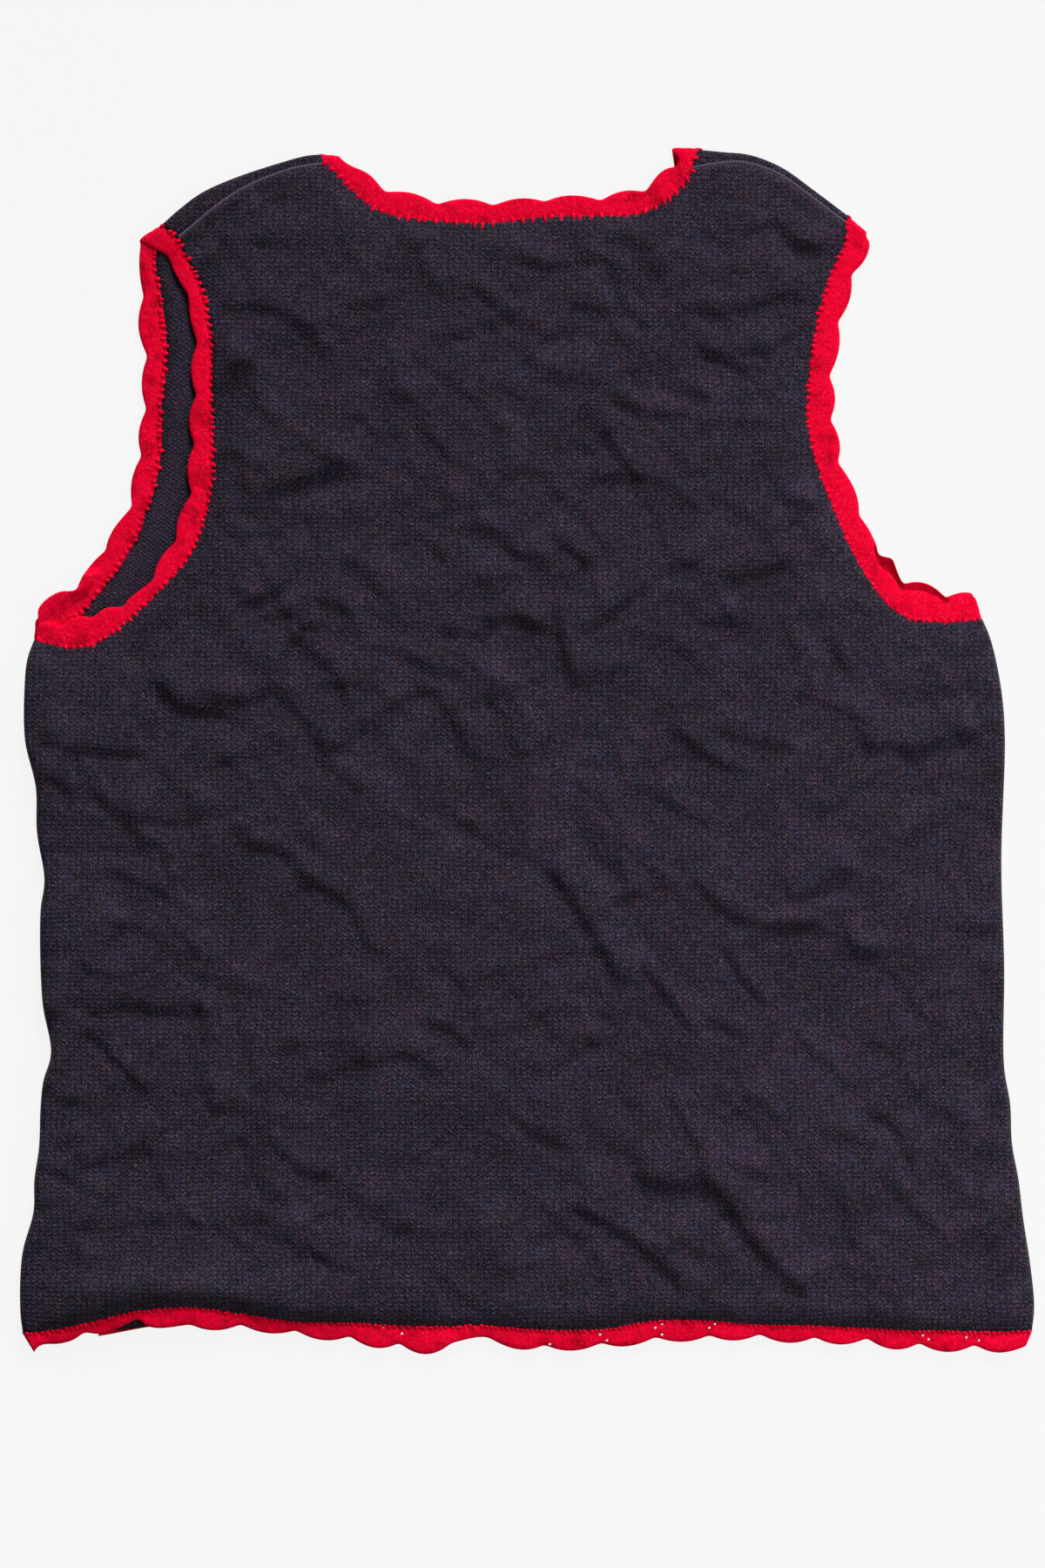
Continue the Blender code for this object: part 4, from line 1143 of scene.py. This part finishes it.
def front_panel(edges, sides, shoulders, materials):
    left, right = sides
    round_starts = {}
    for side, (fold, _, inward) in shoulders.items():
        round_starts[side] = fold + inward * SHOULDER_ROUND
    hem = edges["hem_front"][1:-1]
    right_edge, left_edge = edges["right_front"][::-1][:-1], edges["left_front"][1:]
    outline = np.vstack([
        hem,
        side_and_corners(right, hem[-1], edges["right_back"][0]),
        right_edge,
        round_starts["right"][::-1],
        edges["neck_front"][::-1][:-1],
        round_starts["left"],
        left_edge,
        side_and_corners(left, hem[0], edges["left_back"][0])[::-1],
    ])
    places, faces = triangulated(outline, sheet_points(outline, sides, FRONT_GRID))
    closed = np.vstack([outline, outline[:1]])
    inner = smoothstep(distance_to(closed, places) / EDGE_BLEND)
    z = (SIDE_MID - SIDE_GAP / 2) * (1 - side_rounding(sides, places)) + tuck_lift(places)
    z += np.maximum(crease_height(FRONT_CREASES, places), 0.0) * inner
    points = [tuple(point) for point in np.column_stack([places, z])]
    for side, (fold, seam, inward) in shoulders.items():
        first = len(points)
        rows = []
        for place, stitch, way in zip(fold, seam, inward):
            row = []
            for turn in SHOULDER_TURNS:
                angle = math.radians(turn)
                spot = place + way * SHOULDER_ROUND * (1 - math.cos(angle))
                row.append((*spot, SHOULDER_ROUND * (1 + math.sin(angle))))
            end = stitch - way * SEAM_GAP
            start = np.array(row[-1][:2])
            row += [(*(start + (end - start) * share), EDGE_TOP) for share in (0.33, 0.67, 1.0)]
            rows.append(row)
        width = len(rows[0])
        for row in rows:
            points += row
        for number in range(len(rows) - 1):
            for column in range(width - 1):
                here = first + number * width + column
                faces.append((here, here + 1, here + width + 1, here + width))
    panel = make_panel("front_knit", points, faces, False, materials)
    return panel, outline


def add_node(tree, kind, inputs=(), **settings):
    """A shader node with its settings, and its inputs by name or number, each a value or another's output."""
    made = tree.nodes.new(kind)
    for key, value in settings.items():
        setattr(made, key, value)
    for key, value in dict(inputs).items():
        value = getattr(value, "socket", value)
        if isinstance(value, bpy.types.NodeSocket):
            tree.links.new(value, made.inputs[key])
        else:
            made.inputs[key].default_value = value
    return made


class Number:
    """A number that a shader works out from place to place, to be added, multiplied and so on."""

    def __init__(self, tree, socket):
        self.tree = tree
        self.socket = socket

    def calc(self, operation, *others):
        node = add_node(self.tree, "ShaderNodeMath", enumerate((self, *others)), operation=operation)
        return Number(self.tree, node.outputs[0])

    def __add__(self, other):
        return self.calc("ADD", other)

    def __sub__(self, other):
        return self.calc("SUBTRACT", other)

    def __mul__(self, other):
        return self.calc("MULTIPLY", other)

    def __truediv__(self, other):
        return self.calc("DIVIDE", other)

    def __neg__(self):
        return self.calc("MULTIPLY", -1.0)

    def wave(self):
        """A bump from 0 to 1 and back for each whole step of the number."""
        return (self * math.pi).calc("SINE").calc("ABSOLUTE")

    def ramp(self, low, high):
        """Where it lies between two others, from 0 to 1."""
        inputs = {"Value": self, "From Min": low, "From Max": high}
        node = add_node(self.tree, "ShaderNodeMapRange", inputs, clamp=True)
        return Number(self.tree, node.outputs["Result"])


def mix_colour(tree, share, low, high):
    return add_node(tree, "ShaderNodeMix", {0: share, 6: low, 7: high}, data_type="RGBA").outputs[2]


def noise_at(tree, place, scale, detail=2.0):
    """Noise with this many grains to a unit of the place, and the same in three channels."""
    made = add_node(tree, "ShaderNodeTexNoise", {"Vector": place, "Scale": scale, "Detail": detail})
    return Number(tree, made.outputs["Fac"]), made.outputs["Color"]


def vector_math(tree, operation, inputs):
    return add_node(tree, "ShaderNodeVectorMath", inputs, operation=operation).outputs[0]


def split_place(tree, place):
    """Across and up, counted in columns and rows of the knit."""
    split = add_node(tree, "ShaderNodeSeparateXYZ", {0: place})
    return Number(tree, split.outputs[0]) / WALE, Number(tree, split.outputs[1]) / COURSE


def cloth_material(name, roughness, specular, sheen, sheen_roughness):
    material = bpy.data.materials.new(name)
    material.use_nodes = True
    shader = material.node_tree.nodes["Principled BSDF"]
    shader.inputs["Roughness"].default_value = roughness
    shader.inputs["Specular IOR Level"].default_value = specular
    shader.inputs["Sheen Weight"].default_value = sheen
    shader.inputs["Sheen Roughness"].default_value = sheen_roughness
    return material, material.node_tree, shader


def dress(tree, shader, colour, height, strength):
    """Give a shader its colour and its small relief."""
    tree.links.new(colour, shader.inputs["Base Color"])
    bump = add_node(tree, "ShaderNodeBump", {"Height": height, "Strength": strength, "Distance": BUMP_DEPTH})
    tree.links.new(bump.outputs[0], shader.inputs["Normal"])


def millimetres(tree):
    """The place on the garment, in millimetres."""
    place = add_node(tree, "ShaderNodeTexCoord").outputs["Object"]
    return vector_math(tree, "SCALE", {0: place, "Scale": 1 / MM})


def warped(tree, place):
    """The place, moved a little so that the rows and columns of stitches wander."""
    moved = place
    for scale, reach in WANDERINGS:
        colour = noise_at(tree, place, scale, 1.0)[1]
        centred = vector_math(tree, "SUBTRACT", {0: colour, 1: (0.5, 0.5, 0.5)})
        scaled = vector_math(tree, "SCALE", {0: centred, "Scale": reach})
        moved = vector_math(tree, "ADD", {0: moved, 1: scaled})
    return moved


def knit_height(tree, place):
    """Columns of V-shaped stitches, as on the right side of a plain machine knit."""
    column, row = split_place(tree, place)
    leg = (column.calc("FRACT") * 2.0 - 1.0).calc("ABSOLUTE")
    slanted = row - leg * STITCH_SLANT
    body = slanted.wave().calc("POWER", 1.2)
    width = (leg.wave() * 0.6 + 0.4) * (-(leg * 1.4) + 1.7)
    cell = add_node(
        tree, "ShaderNodeCombineXYZ", {0: (column * 2.0).calc("FLOOR"), 1: slanted.calc("FLOOR")}
    )
    luck = add_node(tree, "ShaderNodeTexWhiteNoise", {"Vector": cell.outputs[0]}).outputs["Value"]
    return body * width * (Number(tree, luck) * 0.9 + 0.5)


def purl_height(tree, place):
    """Rows of interlocking arcs, as on the wrong side of a plain machine knit."""
    column, row = split_place(tree, place)
    bend = (column * (2 * math.pi)).calc("SINE") * 0.28
    body = (row + bend).wave().calc("POWER", 0.8)
    return body * ((column * 2.0).wave() * 0.5 + 0.5)


def tinted(tree, colour, place):
    """The colour, with a little more or less red and blue from place to place."""
    beyond = vector_math(tree, "ADD", {0: place, 1: TINT_SHIFT})
    red, blue = (
        (noise_at(tree, spot, TINT_SCALE, 3.0)[0].ramp(*HALF_AND_HALF) - 0.5) * tint + 1.0
        for spot, tint in ((place, RED_TINT), (beyond, BLUE_TINT))
    )
    split = add_node(tree, "ShaderNodeSeparateColor", {0: colour}).outputs
    inputs = {0: Number(tree, split[0]) * red, 1: split[1], 2: Number(tree, split[2]) * blue}
    return add_node(tree, "ShaderNodeCombineColor", inputs).outputs[0]


def knit_material(name, height_of):
    """A dark wool blend: stitches, flecked fibres and a faint nap, with painted shade in the hollows between
    the stitches and painted highlight on their crests.
    """
    material, tree, shader = cloth_material(name, 0.95, DRY_GLOSS, 0.03, 0.5)
    place = millimetres(tree)
    stitches = height_of(tree, warped(tree, place))
    fibres, hairs, flecks, patches = (noise_at(tree, place, *row)[0] for row in KNIT_NOISES)
    # Painted shade and highlight: the stitches' height darkens their hollows and lightens their crests; the
    # noises are the yarn's own random tone
    light = stitches * 0.36 + (fibres - 0.43) + (hairs - 0.525) * 2.3
    light = light + (patches.ramp(*HALF_AND_HALF) - 0.5) * 0.16
    colour = mix_colour(tree, light.ramp(0.0, 1.0), KNIT_DARK, KNIT_LIGHT)
    colour = mix_colour(tree, flecks.ramp(*IN_FLECKS) * 0.45, colour, KNIT_FLECK)
    dress(tree, shader, tinted(tree, colour, place), stitches * 0.6 + fibres * 0.9, 0.8)
    return material


def crochet_material(name, painted_highlight_share):
    """A bright red brushed yarn with a soft nap: its pink flecks are lighter fibres and painted highlights,
    and it has patches of painted shade.
    """
    material, tree, shader = cloth_material(name, 0.9, 0.02, 0.05, 0.35)
    shader.inputs["Sheen Tint"].default_value = RED_NAP_AND_PAINTED_HIGHLIGHT
    place = millimetres(tree)
    yarn, fibres, flecks, painted_shade = (noise_at(tree, place, *row)[0] for row in CROCHET_NOISES)
    light = yarn * 0.4 + fibres * 0.6
    colour = mix_colour(tree, light.ramp(0.3, 0.68), RED_DARK, RED_LIGHT)
    # Painted shade: random patches of a darker red, partly the nap's own uneven tone
    colour = mix_colour(tree, painted_shade.ramp(*IN_PATCHES) * 0.75, colour, RED_PAINTED_SHADE)
    # Painted highlights: pink flecks on the nap, partly lighter fibres; the loops get the most of them
    colour = mix_colour(tree, flecks.ramp(*IN_FLECKS) * painted_highlight_share, colour, RED_NAP_AND_PAINTED_HIGHLIGHT)
    dress(tree, shader, colour, yarn * 0.7 + fibres * 0.6, 0.7)
    return material


def plain_material(name, roughness, sheen, noise_row, limits, dark, light):
    """A yarn with no pattern of its own, darker and lighter from place to place."""
    material, tree, shader = cloth_material(name, roughness, DRY_GLOSS, sheen, 0.5)
    share = noise_at(tree, millimetres(tree), *noise_row)[0]
    if limits:
        share = share.ramp(*limits)
    tree.links.new(mix_colour(tree, share, dark, light), shader.inputs["Base Color"])
    return material


def add_object(name, data, place=(0.0, 0.0, 0.0)):
    made = bpy.data.objects.new(name, data)
    made.location = place
    bpy.context.scene.collection.objects.link(made)
    return made


def make_floor():
    """A plain pale floor that looks the same all over."""
    mesh = bpy.data.meshes.new("floor")
    signs = ((-1, -1), (1, -1), (1, 1), (-1, 1))
    corners = [(x * FLOOR_REACH, y * FLOOR_REACH, -FLOOR_DROP) for x, y in signs]
    mesh.from_pydata(corners, [], [(0, 1, 2, 3)])
    floor = add_object("floor", mesh)
    material = bpy.data.materials.new("floor")
    material.use_nodes = True
    shader = material.node_tree.nodes["Principled BSDF"]
    shader.inputs["Base Color"].default_value = FLOOR_BASE
    shader.inputs["Roughness"].default_value = 1.0
    shader.inputs["Specular IOR Level"].default_value = 0.0
    shader.inputs["Emission Color"].default_value = FLOOR_COLOUR
    shader.inputs["Emission Strength"].default_value = FLOOR_GLOW
    mesh.materials.append(material)


def make_lights():
    """Soft light from beyond the neck, a weaker fill from the right, and a faint light from all round."""
    for name, kind, place, size, strength in LIGHTS:
        lamp = bpy.data.lights.new(name, kind)
        if kind == "SUN":
            lamp.angle = math.radians(size)
        else:
            lamp.size = size
        lamp.energy = strength
        holder = add_object(name, lamp, place)
        holder.rotation_euler = (-Vector(place)).to_track_quat("-Z", "Y").to_euler()
    world = bpy.data.worlds.new("studio")
    world.use_nodes = True
    background = world.node_tree.nodes["Background"]
    background.inputs["Color"].default_value = WORLD_COLOUR
    background.inputs["Strength"].default_value = WORLD_STRENGTH
    bpy.context.scene.world = world


def make_camera():
    """The camera, straight above."""
    camera = bpy.data.cameras.new("camera")
    camera.sensor_fit = "VERTICAL"
    camera.sensor_width = SENSOR
    camera.sensor_height = SENSOR
    camera.lens = SENSOR * CAMERA_HEIGHT / VIEW_HEIGHT
    scene = bpy.context.scene
    scene.camera = add_object("camera", camera, (*VIEW_CENTRE, BACK_TOP * MM + CAMERA_HEIGHT))
    scene.view_settings.view_transform = "Standard"


def pierce(pieces):
    """Cut the small gaps of the hem edging through these pieces."""
    points, faces = [], []
    corners = range(HOLE_CORNERS)
    for number, (x, y) in enumerate(HOLES):
        first = 2 * HOLE_CORNERS * number
        for z in HOLE_ENDS:
            for corner in corners:
                angle = 2 * math.pi * corner / HOLE_CORNERS
                points.append((x + HOLE_SIZE / 2 * math.cos(angle), y + HOLE_SIZE / 2 * math.sin(angle), z))
        low = tuple(first + corner for corner in corners)
        high = tuple(first + HOLE_CORNERS + corner for corner in corners)
        faces += [low, high]
        for corner in corners:
            beside = (corner + 1) % HOLE_CORNERS
            faces.append((low[corner], low[beside], high[beside], high[corner]))
    cutter = make_object("cutter", points, faces, [])
    for piece in pieces:
        cut = piece.modifiers.new("holes", "BOOLEAN")
        cut.object = cutter
        cut.operation = "DIFFERENCE"
        cut.solver = "EXACT"
        solid = piece.evaluated_get(bpy.context.evaluated_depsgraph_get())
        pierced = bpy.data.meshes.new_from_object(solid)
        piece.modifiers.clear()
        piece.data = pierced
    bpy.data.objects.remove(cutter)


def lint_piece(material):
    """Single light fibres that lie on the back."""
    points, faces = [], []
    corners = range(LINT_CORNERS)
    for x, y, length, turn, width in LINT:
        along = np.array((math.cos(math.radians(turn)), math.sin(math.radians(turn))))
        aside = np.array((-along[1], along[0]))
        first = len(points)
        height = BACK_TOP + float(crease_height(CREASES, np.array([(x, y)]))[0]) + LINT_RISE
        for number in range(LINT_STEPS + 1):
            share = number / LINT_STEPS
            arch = math.sin(math.pi * share)
            middle = np.array((x, y)) + along * length * (share - 0.5) + aside * LINT_BEND * arch
            reach = width / 2 * (LINT_END + (1 - LINT_END) * arch)
            for corner in corners:
                angle = 2 * math.pi * corner / LINT_CORNERS
                spot = middle + aside * reach * math.cos(angle)
                points.append((*spot, height + reach * math.sin(angle)))
            if number == 0:
                continue
            near = first + LINT_CORNERS * (number - 1)
            far = near + LINT_CORNERS
            for corner in corners:
                beside = (corner + 1) % LINT_CORNERS
                faces.append((near + corner, near + beside, far + beside, far + corner))
        faces += [tuple(first + corner for corner in corners), tuple(far + corner for corner in corners)]
    return make_object("lint", points, faces, [material])


def main():
    chance = random.Random(11)
    knit = knit_material("knit_right_side", knit_height)
    purl = knit_material("knit_wrong_side", purl_height)
    crochet = crochet_material("brushed_crochet", 0.55)
    # The loops have the most painted highlights on their nap
    loops = crochet_material("brushed_loops_painted_highlight", 1.0)
    rings = {
        "armhole_edging_left": edging_stations(LEFT_ARMHOLE, True),
        "armhole_edging_right": edging_stations(RIGHT_ARMHOLE, True),
        "neck_edging": edging_stations(NECK, True),
    }
    hem_front_right = HEM_FRONT_START + tuple(
        ("front", *row[1:]) for row in HEM_BACK[FIRST_HEM_ROW_ON_RIGHT:]
    )
    strips = {
        "hem_edging_back": edging_stations(HEM_BACK, False),
        "hem_edging_front_left": edging_stations(HEM_FRONT_LEFT, False),
        "hem_edging_front_tucked": edging_stations(HEM_FRONT_TUCKED, False),
        "hem_edging_front_right": edging_stations(hem_front_right, False),
    }
    edgings = {}
    for name, stations in {**rings, **strips}.items():
        closed = name in rings
        piece = make_edging(name, stations, closed, crochet)
        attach(piece, "root")
        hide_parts(name)
        edgings[name] = [piece]
        if name in UNSEEN_STITCHES:
            continue
        stitches = make_stitches(
            name.replace("edging", "stitches"), stations, closed, edging_lift(name, stations), loops, chance
        )
        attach(stitches, "root")
        edgings[name].append(stitches)
    pierce([edgings[name][0] for name in PIERCED])
    sides = (spline(LEFT_SIDE, SIDE_STEP), spline(RIGHT_SIDE, SIDE_STEP))
    for side in sides:
        side[0, 1] += SEAM_GAP
        side[-1, 1] -= SEAM_GAP
    shoulders = {"left": shoulder_lines(LEFT_SHOULDER), "right": shoulder_lines(RIGHT_SHOULDER)}
    seams = {side: lines[1] for side, lines in shoulders.items()}
    hem_front = np.vstack([
        panel_edge(strips["hem_edging_front_left"], "front"),
        TUCKED_EDGE,
        panel_edge(strips["hem_edging_front_right"], "front"),
    ])
    edges = {
        "hem_back": panel_edge(strips["hem_edging_back"], "back"),
        "hem_front": hem_front,
        "left_back": panel_edge(rings["armhole_edging_left"], "back"),
        "left_front": panel_edge(rings["armhole_edging_left"], "front"),
        "right_back": panel_edge(rings["armhole_edging_right"], "back"),
        "right_front": panel_edge(rings["armhole_edging_right"], "front"),
        "neck_back": panel_edge(rings["neck_edging"], "back"),
        "neck_front": panel_edge(rings["neck_edging"], "front"),
    }
    back, back_outline = back_panel(edges, sides, seams, [knit, purl])
    front, front_outline = front_panel(edges, sides, shoulders, [knit, purl])
    # The seam's ridge is coloured lighter than the knit, as a painted highlight
    seam_yarn_painted_highlight = plain_material("seam_yarn_painted_highlight", 0.95, 0.03, SEAM_NOISE, HALF_AND_HALF, KNIT_LIGHT, SEAM_PAINTED_HIGHLIGHT)
    seam_pieces = [make_seam(f"seam_{side}", seams[side], seam_yarn_painted_highlight, chance) for side in ("left", "right")]
    for piece in seam_pieces:
        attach(piece, "root")
    lint = lint_piece(plain_material("lint", 0.9, 0.0, LINT_NOISE, None, KNIT_FLECK, LINT_COLOUR))
    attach(lint, "root")
    hem_front_names = [name for name in edgings if name.startswith("hem_edging_front")]
    groups = (
        (back, "back_panel", back_outline, [front], ("neck_edging", "hem_edging_back")),
        (front, "front_panel", front_outline, [], hem_front_names),
    )
    for panel, node, outline, under, held in groups:
        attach(panel, "root")
        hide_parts(node)
        width, length = (outline.max(axis=0) - outline.min(axis=0)) * MM
        with_pieces = [piece for name in held for piece in edgings[name]]
        if panel is back:
            with_pieces += [lint, *seam_pieces]
            with_pieces += edgings["armhole_edging_left"] + edgings["armhole_edging_right"]
        plan_area(outline)
    make_floor()
    make_lights()
    make_camera()


main()
